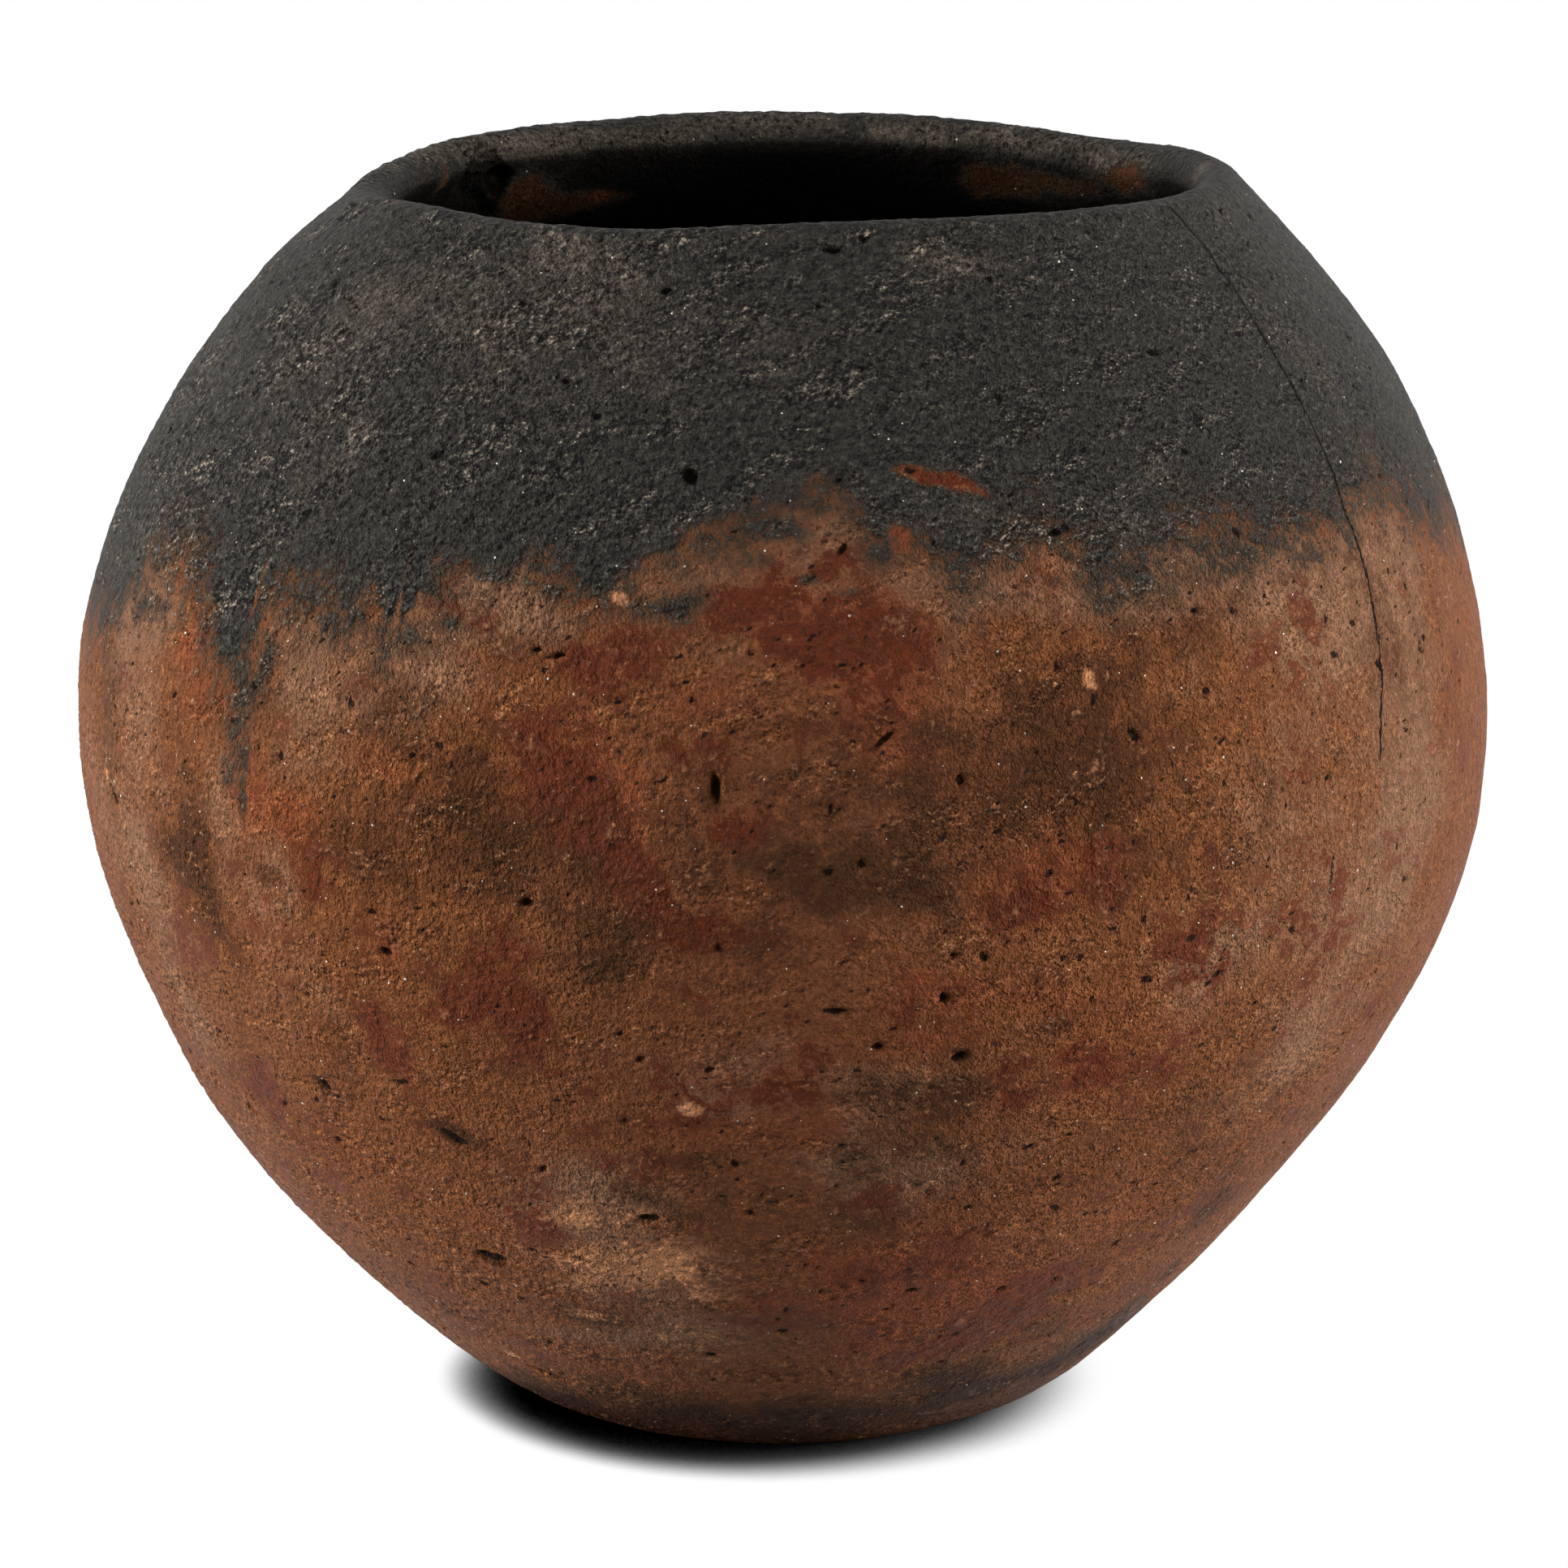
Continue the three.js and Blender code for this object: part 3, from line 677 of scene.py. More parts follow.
# Pits and lost grains: pixel x and y, half length, half width, tilt, depth
PITS = [
    (853, 585, 1, 1.15, 0, 1), (1025, 309, 1.5, 0.5, -5, 0.7), (820, 357, 0.9, 0.5, 20, 0.6),
    (1300, 655, 0.9, 0.6, 0, 0.7), (885, 970, 0.6, 2, 8, 0.9), (1034, 1246, 1.8, 0.5, 0, 0.8),
    (650, 1112, 0.9, 0.7, 0, 0.8), (473, 1178, 0.9, 0.6, -30, 0.8), (604, 1548, 2.2, 1, -10, 0.8),
    (680, 1695, 3.2, 0.6, -25, 0.6), (1500, 1200, 0.8, 0.6, 0, 0.5), (1180, 960, 0.6, 0.9, 0, 0.5),
    (540, 560, 1.1, 0.6, 30, 0.6), (1420, 430, 1.2, 0.5, -20, 0.5), (700, 470, 0.8, 0.5, 0, 0.5),
    (560, 1400, 2.4, 0.9, -35, 0.5), (800, 1500, 1.5, 0.8, 0, 0.6), (345, 930, 0.6, 0.8, 0, 0.5),
    (661, 798, 0.7, 0.5, 20, 0.6), (691, 808, 1.1, 0.45, 22, 0.7), (506, 929, 0.6, 0.4, 0, 0.5),
    (1398, 905, 1.3, 0.5, -55, 0.7), (1471, 752, 0.6, 0.5, 0, 0.6), (1633, 762, 0.4, 0.9, 0, 0.5),
    (1160, 1232, 0.5, 0.9, 0, 0.8), (1180, 1306, 1.2, 0.7, 30, 0.7), (1082, 1293, 0.8, 0.6, 0, 0.6),
    (400, 1340, 1, 0.8, -40, 0.7), (312, 1370, 1.2, 0.6, -50, 0.7), (1174, 1178, 0.5, 0.45, 0, 0.7),
]

# Voids too small to place: how many, how far from the foot's disc they begin, and their half sizes,
# tilt and depth
RANDOM_PITS = 2400
PIT_SEED = 31
PITS_FROM = 6.0
SHORTEST_PIT = 0.22
PIT_LENGTH_SPREAD = 0.2
PIT_NARROWNESS = (0.3, 0.8)
PIT_WIDTHS = (0.18, 0.5)
PIT_TILT = -10
PIT_TILT_SPREAD = 40
SHALLOWEST_PIT = 0.08
PIT_DEPTH_TO_WIDTH = 0.5
# The rim and slope of a pit's bowl in half sizes, and how far its outline wanders
PIT_RIM = 1.15
PIT_SLOPE = 0.75
PIT_WARP = 0.1


def dig(relief, hollow, azimuth, row, length, width, tilt, depth):
    """A rounded hollow with a steep edge. It lowers the relief and marks the clay inside for painted
    shade.
    """
    window, distance = patch(azimuth, row, length, width, tilt, PIT_WARP)
    bowl = smoothstep((PIT_RIM - distance) / PIT_SLOPE)
    relief[window] -= depth * bowl
    hollow[window] = np.maximum(hollow[window], bowl)


def dig_pits(relief, hollow):
    """Digs the pits that show, and a scatter of voids that burnt-out chaff left, mostly lying along
    the strokes of the hand that smoothed the clay."""
    for pit in placed(PITS, WALL_IN_VIEW):
        dig(relief, hollow, *pit)
    chance = np.random.default_rng(PIT_SEED)
    outer = np.flatnonzero(OUTSIDE & (ALONG > PITS_FROM))
    share = RADIUS[outer] / RADIUS[outer].sum()
    rows = chance.choice(outer, RANDOM_PITS, p=share)
    azimuths = chance.uniform(0, 360, RANDOM_PITS)
    lengths = SHORTEST_PIT + chance.gamma(1.0, PIT_LENGTH_SPREAD, RANDOM_PITS)
    widths = np.clip(lengths * chance.uniform(*PIT_NARROWNESS, RANDOM_PITS), *PIT_WIDTHS)
    tilts = chance.normal(PIT_TILT, PIT_TILT_SPREAD, RANDOM_PITS)
    depths = SHALLOWEST_PIT + PIT_DEPTH_TO_WIDTH * widths
    for pit in zip(azimuths, rows, lengths, widths, tilts, depths):
        dig(relief, hollow, *pit)


# The old chip inside the lip
CHIP_AZIMUTH = 140.0
CHIP_HALF_WIDTH = 4.2
CHIP_HALF_HEIGHT = 8.4
CHIP_DEPTH = 2.5
CHIP_BELOW_LIP_CREST = 6.6
CHIP_LEAN = 28.0
CHIP_WARP = 0.7
CHIP_RIM = 1.1
CHIP_SLOPE = 0.45
# The chip's floor as a share of its depth, how much crumbs change that, and how much painted shade they
# get
CHIP_FLOOR = 0.7
CHIP_CRUMBS = 0.45
CHIP_SHADE = 0.5


def chip_in_lip(relief, hollow, crumbly):
    """A broken hollow with a rough floor, its middle some way down the inner face of the lip."""
    crest = (LIP_START + LIP_END) // 2
    row = int(np.argmin(np.abs(ALONG - (ALONG[crest] + CHIP_BELOW_LIP_CREST))))
    window, distance = patch(
        CHIP_AZIMUTH, row, CHIP_HALF_WIDTH, CHIP_HALF_HEIGHT, CHIP_LEAN, CHIP_WARP
    )
    bowl = smoothstep((CHIP_RIM - distance) / CHIP_SLOPE)
    relief[window] -= bowl * CHIP_DEPTH * (CHIP_FLOOR + CHIP_CRUMBS * crumbly[window])
    hollow[window] = np.maximum(hollow[window], bowl * CHIP_SHADE * crumbly[window])


# The crack that runs down from the lip: pixels along it
CRACK = [
    (1441, 255), (1454, 266), (1468, 284), (1487, 305), (1502, 327), (1521, 354), (1536, 379),
    (1561, 421), (1594, 477), (1620, 533), (1643, 584), (1655, 628), (1666, 656), (1685, 719),
    (1696, 779), (1701, 831), (1700, 882), (1699, 928),
]
CRACK_REACH = 4.0
# Each stretch of the crack is worked out over this many reaches to either side
STRETCH_REACHES = 2.5


def distance_to_stretch(start, first, end, second, reach):
    """The part of the grid round a straight stretch between two places, and each point's distance
    from the stretch, positive on one side and negative on the other."""
    radius = RADIUS[(first + second) // 2]
    low, high = sorted((ALONG[first], ALONG[second]))
    rows = np.flatnonzero((ALONG > low - reach) & (ALONG < high + reach) & OUTSIDE)
    half = int(math.degrees(STRETCH_REACHES * reach / radius) * COLUMNS / 360)
    columns = columns_round((start + end) / 2, half)
    off = np.radians(short_turn(AZIMUTH[columns] - start))
    across = off[None, :] * RADIUS[rows][:, None]
    along = (ALONG[rows] - ALONG[first])[:, None]
    step = np.array([math.radians(short_turn(end - start)) * radius, ALONG[second] - ALONG[first]])
    span = np.linalg.norm(step)
    step /= span
    onward = across * step[0] + along * step[1]
    beside = across * step[1] - along * step[0]
    beyond = np.maximum(np.maximum(-onward, onward - span), 0.0)
    return np.ix_(rows, columns), np.where(beside < 0, -1.0, 1.0) * np.hypot(beside, beyond)


def distance_to_path(pixels, reach):
    """Distance in the surface from a path of pixels, positive on one side and negative on the
    other, limited to the reach. Past the ends of the path it is the reach."""
    field = np.full(GRID, reach, np.float32)
    places = placed(pixels, WALL_IN_VIEW)
    for start, end in zip(places, places[1:]):
        window, distance = distance_to_stretch(*start, *end, reach)
        nearer = np.abs(distance) < np.abs(field[window])
        field[window] = np.where(nearer, distance, field[window])
    return field


# Relief and finish over the grid

# Heights of the relief in millimetres
SLOW_DENTS = 0.34
MIDDLING_DENTS = 0.1
FINE_DENTS = 0.04
INNER_STROKES = 0.25
LIP_CRUMBS = 0.08
GRAIN_HEIGHT = 0.16
# The share of the dents that is left inside the pot
DENTS_INSIDE = 0.4

# Where the relief of the wall, the finish of the mouth, the strokes inside and the painted shade of
# the inside come in: how far past the foot, the lip's start or the lip's end, and over what length.
# Crumbs reach this far on either side of the lip's start.
WALL_FADE = (1.0, 6.0)
MOUTH_FADE = (1.0, 6.0)
INNER_FADE = (0.0, 8.0)
INNER_SHADE_FADE = (-5.0, 3.5)
LIP_CRUMB_REACH = 4.0

# How rough the grain is: its middle, what streaks add, what slip takes away and from how strong a
# slip on, what the mouth takes away, and the limits
MIDDLE_ROUGHNESS = 0.75
STREAK_ROUGHNESS = 0.9
SLIP_SMOOTHING = 0.4
SMOOTHED_FROM = 0.1
SMOOTHED_OVER = 0.5
MOUTH_SMOOTHING = 0.75
ROUGHNESS_LIMITS = (0.45, 1.35)
# Direction and reach, in degrees, of the side that was scraped smooth, and how smooth it is
SCRAPED_AZIMUTH = 345.0
SCRAPED_REACH = 26.0
SCRAPED_SMOOTHING = 0.6
# The grain is this much shorter along the strokes than the streaks are
GRAIN_SQUEEZE = (2.2, 2.2, 1.0)

# Soot and bare clay: how ragged their marks are, the strength at which each begins, and how many
# millimetres up or down the black's edge it counts for each unit of strength
MARK_RAGGEDNESS = 0.2
SOOT_FROM = 0.55
SOOT_REACH = 9.0
SOOT_MOST = 0.9
NO_SOOT_UNDER = 0.25
NO_SOOT_FALL = 12.0
BARE_FROM = 0.5
BARE_REACH = 30.0
INNER_BARE_REACH = 15.0

# The slow noise that each finish follows, how much it sways the marks, and how much it adds to them
SWAYED = {
    "ember": ("uneven", 0.0, 0.15),
    "smoke": ("smoky", 0.5, 0.15),
    "tan": ("smoky", 0.0, -0.15),
    "pale": ("uneven", 0.7, 0.0),
    "dust": ("uneven", 0.5, 0.0),
}
SLIP_MARKS = 1.5
SLIP_NOISE = 0.7
# The foot is darkest at the ground, up to this height, as smoke and partly painted shade, and the
# inside is painted dark all over as shade
FOOT_DARK_TOP = 9.0
FOOT_DARK_BAND = 7.0
FOOT_SMOKE_AND_SHADE = 1.2
INNER_SHADE_SMOKE = 0.35
INNER_PAINTED_SHADE = 0.7
# What sooty marks and the mouth take away from the dust
SOOTY_CLEARING = 0.8
MOUTH_CLEARING = 0.4


def past(row, start, length):
    """Rises from 0 to 1 along the section, from this far past a row and over this length."""
    return smoothstep((ALONG - ALONG[row] - start) / length)[:, None]


def wall_roughness(streaks, slip, in_mouth):
    """How strong the grain is: streaky, and weaker under slip, in the mouth and on the scraped side."""
    rough = MIDDLE_ROUGHNESS + STREAK_ROUGHNESS * streaks
    rough -= SLIP_SMOOTHING * smoothstep((slip - SMOOTHED_FROM) / SMOOTHED_OVER)
    rough = np.clip(rough, *ROUGHNESS_LIMITS)
    scraped = bell(short_turn(AZIMUTH - SCRAPED_AZIMUTH) / SCRAPED_REACH)
    return rough * (1.0 - MOUTH_SMOOTHING * in_mouth) * (1.0 - SCRAPED_SMOOTHING * scraped)


def wall_relief(grain, wiped, crumbly):
    """Relief before the pits and the chip: dents of three sizes, weaker inside, the potter's strokes
    inside, crumbs on the lip, and grain."""
    outer = past(0, *WALL_FADE)
    inside = past(LIP_END, *INNER_FADE)
    dents = (
        SLOW_DENTS * grid_noise("slow")
        + MIDDLING_DENTS * grid_noise("middling")
        + FINE_DENTS * grid_noise("fine")
    )
    relief = outer * dents * (1 - (1 - DENTS_INSIDE) * inside) + inside * INNER_STROKES * wiped
    relief += bell((ALONG - ALONG[LIP_START]) / LIP_CRUMB_REACH)[:, None] * LIP_CRUMBS * crumbly
    return relief + outer * GRAIN_HEIGHT * grain


def height_over_black_edge(bare):
    """How far above the lower edge of the black each point lies, in millimetres. Marks of soot raise
    it and marks of bare clay lower it. Inside the pot all is black but for the bare marks."""
    ragged = grid_noise("ragged")
    above = HEIGHT[:, None] - BORDER_HEIGHT + BORDER_RAGGEDNESS * ragged
    soot = painted_marks("soot")
    sooted = SOOT_REACH * (soot - SOOT_FROM + MARK_RAGGEDNESS * ragged)
    sooted -= NO_SOOT_FALL * smoothstep(1.0 - soot / NO_SOOT_UNDER)
    above = np.maximum(above, np.minimum(sooted, SOOT_MOST))
    covered = BARE_FROM - bare + MARK_RAGGEDNESS * ragged
    outside = np.minimum(above, BARE_REACH * covered)
    return np.where(OUTSIDE[:, None], outside, INNER_BARE_REACH * covered)


def build_fields():
    """Relief in millimetres and the finish fields that the clay's material reads."""
    crumbly = grid_noise("crumbly")
    streaks = grid_noise("streaks", STROKES)
    grainy = grid_noise("grainy", STROKES * GRAIN_SQUEEZE)
    wiped = grid_noise("wiped", STROKES)
    slow = {name: grid_noise(name) for name in ("uneven", "smoky")}
    in_mouth = past(LIP_START, *MOUTH_FADE)
    inner_shade = past(LIP_END, *INNER_SHADE_FADE)
    # Darker towards the ground: smoke on the foot, and partly painted shade where little light reaches
    foot = OUTSIDE[:, None] * smoothstep((FOOT_DARK_TOP - HEIGHT) / FOOT_DARK_BAND)[:, None]
    bare = painted_marks("bare")
    slip = SLIP_MARKS * painted_marks("slip") + SLIP_NOISE * slow["uneven"]
    rough = wall_roughness(streaks, slip, in_mouth)
    relief = wall_relief(rough * grainy, wiped, crumbly)
    hollow = np.zeros(GRID, np.float32)
    dig_pits(relief, hollow)
    chip_in_lip(relief, hollow, crumbly)
    fields = {}
    for kind, (noise, swing, drift) in SWAYED.items():
        fields[kind] = painted_marks(kind) * (1 + swing * slow[noise]) + drift * slow[noise]
    # Painted shade: the inside is darkened through the smoke, and the foot partly so near the ground
    fields["smoke"] += INNER_SHADE_SMOKE * inner_shade + FOOT_SMOKE_AND_SHADE * foot
    fields["dust"] -= SOOTY_CLEARING * painted_marks("sooty") + MOUTH_CLEARING * in_mouth
    return relief, fields | {
        "above_border": height_over_black_edge(bare),
        "edge_softness": np.broadcast_to(BORDER_SOFTNESS, GRID),
        "slip": slip,
        # Painted shade: the inside below the lip is painted dark, except at the bare marks
        "hollow": np.maximum(hollow, INNER_PAINTED_SHADE * inner_shade * (1.0 - bare)),
        "crack": distance_to_path(CRACK, CRACK_REACH),
        "strokes": STROKES * METRES,
        "crest": rough * grainy,
        "rough": rough,
        "streak": streaks,
    }


RELIEF, FINISH = build_fields()
SURFACE = ROUND_WALL + RELIEF[..., None] * WALL_NORMALS


def grid_normals(points):
    """Normals across the whole grid, from the slopes along it and round it, so that neighbouring
    pieces shade as one wall."""
    along = np.gradient(points, axis=0)
    around = np.roll(points, -1, axis=1) - np.roll(points, 1, axis=1)
    normals = np.cross(around, along)
    return normals / np.maximum(np.linalg.norm(normals, axis=-1), 1e-9)[..., None]


NORMALS = grid_normals(SURFACE)


# Meshes

def loop_faces(rows, closed):
    """Four-sided faces between neighbouring rows and columns. A closed loop of rows joins its last
    row to its first."""
    first = np.arange(rows if closed else rows - 1)
    second = (first + 1) % rows
    column = np.arange(COLUMNS)
    beside = (column + 1) % COLUMNS
    return np.stack([
        first[:, None] * COLUMNS + column,
        first[:, None] * COLUMNS + beside,
        second[:, None] * COLUMNS + beside,
        second[:, None] * COLUMNS + column,
    ], axis=-1).reshape(-1, 4)


def pole_faces(pole, row_start, facing_down):
    """A fan of triangles that closes a row on the axis."""
    column = row_start + np.arange(COLUMNS)
    beside = row_start + (np.arange(COLUMNS) + 1) % COLUMNS
    centre = np.full(COLUMNS, pole)
    return np.stack([centre, beside, column] if facing_down else [centre, column, beside], axis=-1)


def make_mesh(name, points, normals, fields, faces):
    """Puts a piece's points, faces, shading and finish fields into a new mesh."""
    sizes = np.concatenate([np.full(len(group), group.shape[1]) for group in faces])
    corners = np.concatenate([group.ravel() for group in faces])
    mesh = bpy.data.meshes.new(name)
    mesh.vertices.add(len(points))
    mesh.vertices.foreach_set("co", (points * METRES).astype(np.float32).ravel())
    mesh.loops.add(len(corners))
    mesh.loops.foreach_set("vertex_index", corners.astype(np.int32))
    mesh.polygons.add(len(sizes))
    starts = np.concatenate([[0], np.cumsum(sizes)[:-1]])
    mesh.polygons.foreach_set("loop_start", starts.astype(np.int32))
    mesh.update(calc_edges=True)
    mesh.shade_smooth()
    mesh.normals_split_custom_set_from_vertices(normals)
    for key, values in fields.items():
        kind, slot = ("FLOAT", "value") if values.ndim == 1 else ("FLOAT_VECTOR", "vector")
        layer = mesh.attributes.new(key, kind, "POINT")
        layer.data.foreach_set(slot, values.astype(np.float32).ravel())
    return mesh


def piece_rows(number):
    """Rows of the grid that bound a piece, out along its outer face and back along its inner one.
    The rim's rows run over the lip without a break."""
    if number == len(JOINTS):
        return [np.arange(OUTSIDE_JOINT[-1], INSIDE_JOINT[-1] + 1)]
    bottom = OUTSIDE_JOINT[number - 1] if number else 0
    floor = INSIDE_JOINT[number - 1] if number else len(ROWS) - 1
    return [
        np.arange(bottom, OUTSIDE_JOINT[number] + 1),
        np.arange(INSIDE_JOINT[number], floor + 1),
    ]


def build_piece(number, name, slot, material):
    """One clay piece as a closed mesh. The base pad also closes on the axis, under the foot and on
    the floor inside."""
    rows = np.concatenate(piece_rows(number))
    points = SURFACE[rows].reshape(-1, 3)
    normals = NORMALS[rows].reshape(-1, 3)
    fields = {key: values[rows].reshape(-1, *values.shape[2:]) for key, values in FINISH.items()}
    faces = [loop_faces(len(rows), closed=number > 0)]
    if number == 0:
        under = len(points)
        points = np.vstack([points, [0.0, 0.0, 0.0], [0.0, 0.0, FLOOR_THICKNESS]])
        normals = np.vstack([normals, [0.0, 0.0, -1.0], [0.0, 0.0, 1.0]])
        fields = {key: np.concatenate([values, values[[0, -1]]]) for key, values in fields.items()}
        faces.append(pole_faces(under, 0, facing_down=True))
        faces.append(pole_faces(under + 1, (len(rows) - 1) * COLUMNS, facing_down=False))
    mesh = make_mesh(name + "_clay", points, normals, fields, faces)
    mesh.materials.append(material)
    piece = bpy.data.objects.new(name + "_clay", mesh)
    bpy.context.scene.collection.objects.link(piece)
    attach(piece, "root")
    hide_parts(name)


# Materials

def linear(code):
    """An sRGB hex colour as the linear colour that a shader takes."""
    channels = [int(code[k:k + 2], 16) / 255 for k in (1, 3, 5)]
    return (*(c / 12.92 if c <= 0.04045 else ((c + 0.055) / 1.055) ** 2.4 for c in channels), 1.0)


def add_node(tree, kind, inputs, output=0, **settings):
    """Adds a node, sets its properties, fills or links its sockets, and gives one output back."""
    made = tree.nodes.new("ShaderNode" + kind)
    for key, value in settings.items():
        setattr(made, key, value)
    for key, value in inputs.items():
        if isinstance(value, bpy.types.NodeSocket):
            tree.links.new(value, made.inputs[key])
        else:
            made.inputs[key].default_value = value
    return made.outputs[output] if made.outputs else None


def new_material(name):
    """An empty material, and a function that adds a node to it."""
    material = bpy.data.materials.new(name)
    material.use_nodes = True
    material.node_tree.nodes.clear()
    return material, partial(add_node, material.node_tree)


# Numbers of the sockets that are used where a node has several of one kind
OBJECT_PLACE = 3
CARRIED_VECTOR = 1
CARRIED_NUMBER = 2
CELL_COLOUR = 1
MIX_SHARE = 0
MIX_UNDER = 6
MIX_OVER = 7
MIXED_COLOUR = 2
OPENNESS = 1
RAY_KINDS = (0, 3, 6)

# Colours of the clay and its finishes
CLAY_BROWN = linear("#7b4829")
CLAY_TAN = linear("#896249")
# Worn crests of the grit, partly a painted highlight
CREST_OCHRE = linear("#966b4b")
EMBER_RED = linear("#86482a")
SLIP_RED = linear("#572510")
SLIP_ROSE = linear("#6e3d2b")
SMOKE_BROWN = linear("#452711")
SCORCH_BROWN = linear("#2a140b")
FUME_GREY = linear("#4b3829")
SOOT_BROWN = linear("#3c3027")
CHARCOAL = linear("#34312d")
CHARCOAL_HAZE = linear("#5c5349")
# Dust on the black, partly a painted highlight on its raised grain
CHARCOAL_DUST_AND_HIGHLIGHT = linear("#7c7162")
PALE_CLAY = linear("#c68960")
# Painted highlight on the side of each lump that faces the upper left, on the clay and on the black
PAINTED_HIGHLIGHT_OCHRE = linear("#a27955")
PAINTED_HIGHLIGHT_GREY = linear("#827463")
# Painted shade in the pits, chaff voids, crack and chip, and in the inside of the pot
PAINTED_SHADE_BROWN = linear("#0e0906")
GRAIN_WHITE = linear("#dcd6ca")
WHITE = (1.0, 1.0, 1.0, 1.0)
FLOOR_GREY = linear("#626262")

# Sizes of the clay's own detail, in millimetres, with the layers and roughness of its noise
NOISES = {
    "grit": (0.36, 3, 0.65),
    "crumb": (0.75, 3, 0.6),
    "blotch": (2.8, 5, 0.7),
    "cloud": (15.0, 4, 0.6),
}
NOISE_MIDDLE = 0.5
# Painted light: lumps are painted paler on the side that looks up and a little left, and darker on
# the other side, as if lit from there. The weights of the noises that they come from, and the step
# to the place that is compared with each
PAINTED_LIGHT_LEDGES = {"crumb": 0.7, "blotch": 1.3}
PAINTED_LIGHT_STEP = (-0.1 * METRES, 0.0, 0.2 * METRES)
# Cells with one white grain or one chaff void in each: their size in millimetres, and the power that
# leaves most of what they hold small. The chaff's cells are shorter along the strokes than the
# streaks are.
CELLS = {"grain": (1.5, 3.0), "chaff": (1.7, 2.0)}
CHAFF_SQUEEZE = (1.9, 1.9, 1.0)
# How far each noise shifts the black's edge beside the edge's softness, and its half width
EDGE_NOISES = {"blotch": 3.2, "crumb": 3.4, "grit": 2.4}
EDGE_HALF_WIDTH = 0.16
# How far crumbs bend the crack, in millimetres
CRACK_BEND = 0.8

# Where each finish covers what lies under it: the weights of the fields that it leans on, the sums
# between which it comes in, and its full strength
COVERS = {
    "tanned": ({"blotch": 1.2, "crumb": 0.5, "tan": 1.0}, 0.80, 1.60, 0.95),
    # Paler on the crests of the grit: worn clay, partly a painted highlight
    "crested": ({"grit": 2.8, "crumb": 0.9, "crest": 0.3}, 2.00, 2.60, 0.35),
    "embered": ({"blotch": 1.4, "ember": 1.0}, 0.70, 1.40, 1.0),
    "rosy": ({"cloud": -1.0, "blotch": 0.6, "ember": -1.0, "above_border": -0.012}, 0.05, 0.40, 0.6),
    "slipped": ({"blotch": 3.5, "crumb": 1.8, "grit": 0.5, "slip": 1.0}, 3.36, 3.54, 0.95),
    "fumed": ({"above_border": 0.08, "blotch": 1.6, "crumb": 1.6, "grit": 0.8}, 1.45, 2.08, 0.85),
    "smoked": ({"blotch": 2.2, "crumb": 0.5, "streak": 0.15, "smoke": 1.0}, 1.30, 2.35, 0.9),
    "scorched": ({"blotch": 1.2, "crumb": 0.6, "smoke": 1.0}, 1.90, 3.20, 0.85),
    "hazed": ({"blotch": 0.9, "dust": 1.0}, 0.55, 1.60, 0.45),
    # Pale on the raised grain of the black: dust, partly a painted highlight
    "dust_and_highlight": ({"grit": 2.6, "crumb": 1.6, "crest": 0.4, "dust": 0.3}, 2.35, 3.10, 0.4),
    "paled": ({"blotch": 1.5, "crumb": 0.6, "pale": 1.0}, 1.15, 1.80, 0.9),
    "blackened": ({"over_edge": 1.0}, -EDGE_HALF_WIDTH, EDGE_HALF_WIDTH, 1.0),
}
# Small details in the same form, with harder edges. The pits come in as their sum falls.
DETAILS = {
    "charred": ({"over_edge": 1.0}, 0.2, 0.9, 1.0),
    # A painted highlight where a lump faces the upper left
    "painted_highlight_edge": ({"ledge": 1.0}, 0.1, 0.2, 0.5),
    "grain": ({"grain_size": 0.09, "grain_distance": -1.0}, -0.04, -0.02, 1.0),
    # The chaff voids, crack, pits and hollows below are painted dark: painted shade in them
    "chaff": ({"chaff_size": 0.2, "crumb": -0.4, "chaff_distance": -1.0}, -0.2, -0.16, 1.0),
    "cracked": ({"blotch": 0.7, "off_crack": -1.0}, 0.12, 0.20, 1.0),
    "shaded_pits": ({"crumb": 1.0, "blotch": 0.45, "smooth": 0.04, "blackened": -0.06}, 0.54, 0.50, 0.75),
    "shade_in_hollows": ({"hollow": 1.0, "crumb": 0.8}, 0.80, 0.98, 1.0),
    "flakes": ({"crumb": 1.0}, 0.44, 0.56, 1.0),
    "scabs": ({"blotch": 1.0}, 0.44, 0.56, 1.0),
}
SUNKEN_SHADE = 0.9

# What differs without and with the smooth slip, or without and with the black
DIFFERENCES = {
    "grit_contrast": ("smooth", 2.6, 1.6),
    "grit_height": ("smooth", 0.7, 0.2),
    "flake_height": ("smooth", 0.24, 0.04),
    "gloss": ("smooth", 0.5, 0.4),
    "crumb_contrast": ("blackened", 1.3, 1.9),
    # Strength of the painted light and shade of the lumps, much stronger on the black
    "ledge_contrast": ("blackened", 2.1, 8.5),
}
# Painted light and shade of the fine relief, partly the clay's own tone: grain, crumbs and crests are
# painted lighter where they stand up and darker in the gaps, never under a quarter of the colour
CREST_CONTRAST = 0.3
DARKEST_SHADE = 0.25
# Heights of the finest relief in millimetres
HEIGHTS = {"scabs": 0.16, "blotch": 0.5, "smooth": 0.12, "shaded_pits": -0.3, "chaff": -0.3, "cracked": -0.3}
# The clay bends light as most fired clay does and gleams a tenth as much as glaze
CLAY_IOR = 1.5
CLAY_REFLECTION = 0.05


def per_mm(size):
    """Scale of a texture whose features should be this many millimetres across."""
    return 1.0 / (size * METRES)


def weighted_sum(node, terms, total=0.0):
    """The total with each value added to it, times its weight."""
    for value, weight in terms:
        total = node("Math", {0: value, 1: weight, 2: total}, operation="MULTIPLY_ADD")
    return total


def add_shares(node, fields, table, ramp):
    """Adds each share of a table to the fields: a weighted sum of fields, brought from nothing to
    full strength between two values."""
    for name, (weights, low, high, most) in table.items():
        lean = weighted_sum(node, [(fields[field], weight) for field, weight in weights.items()])
        inputs = {"Value": lean, "From Min": low, "From Max": high, "To Max": most}
        fields[name] = node("MapRange", inputs, interpolation_type=ramp)


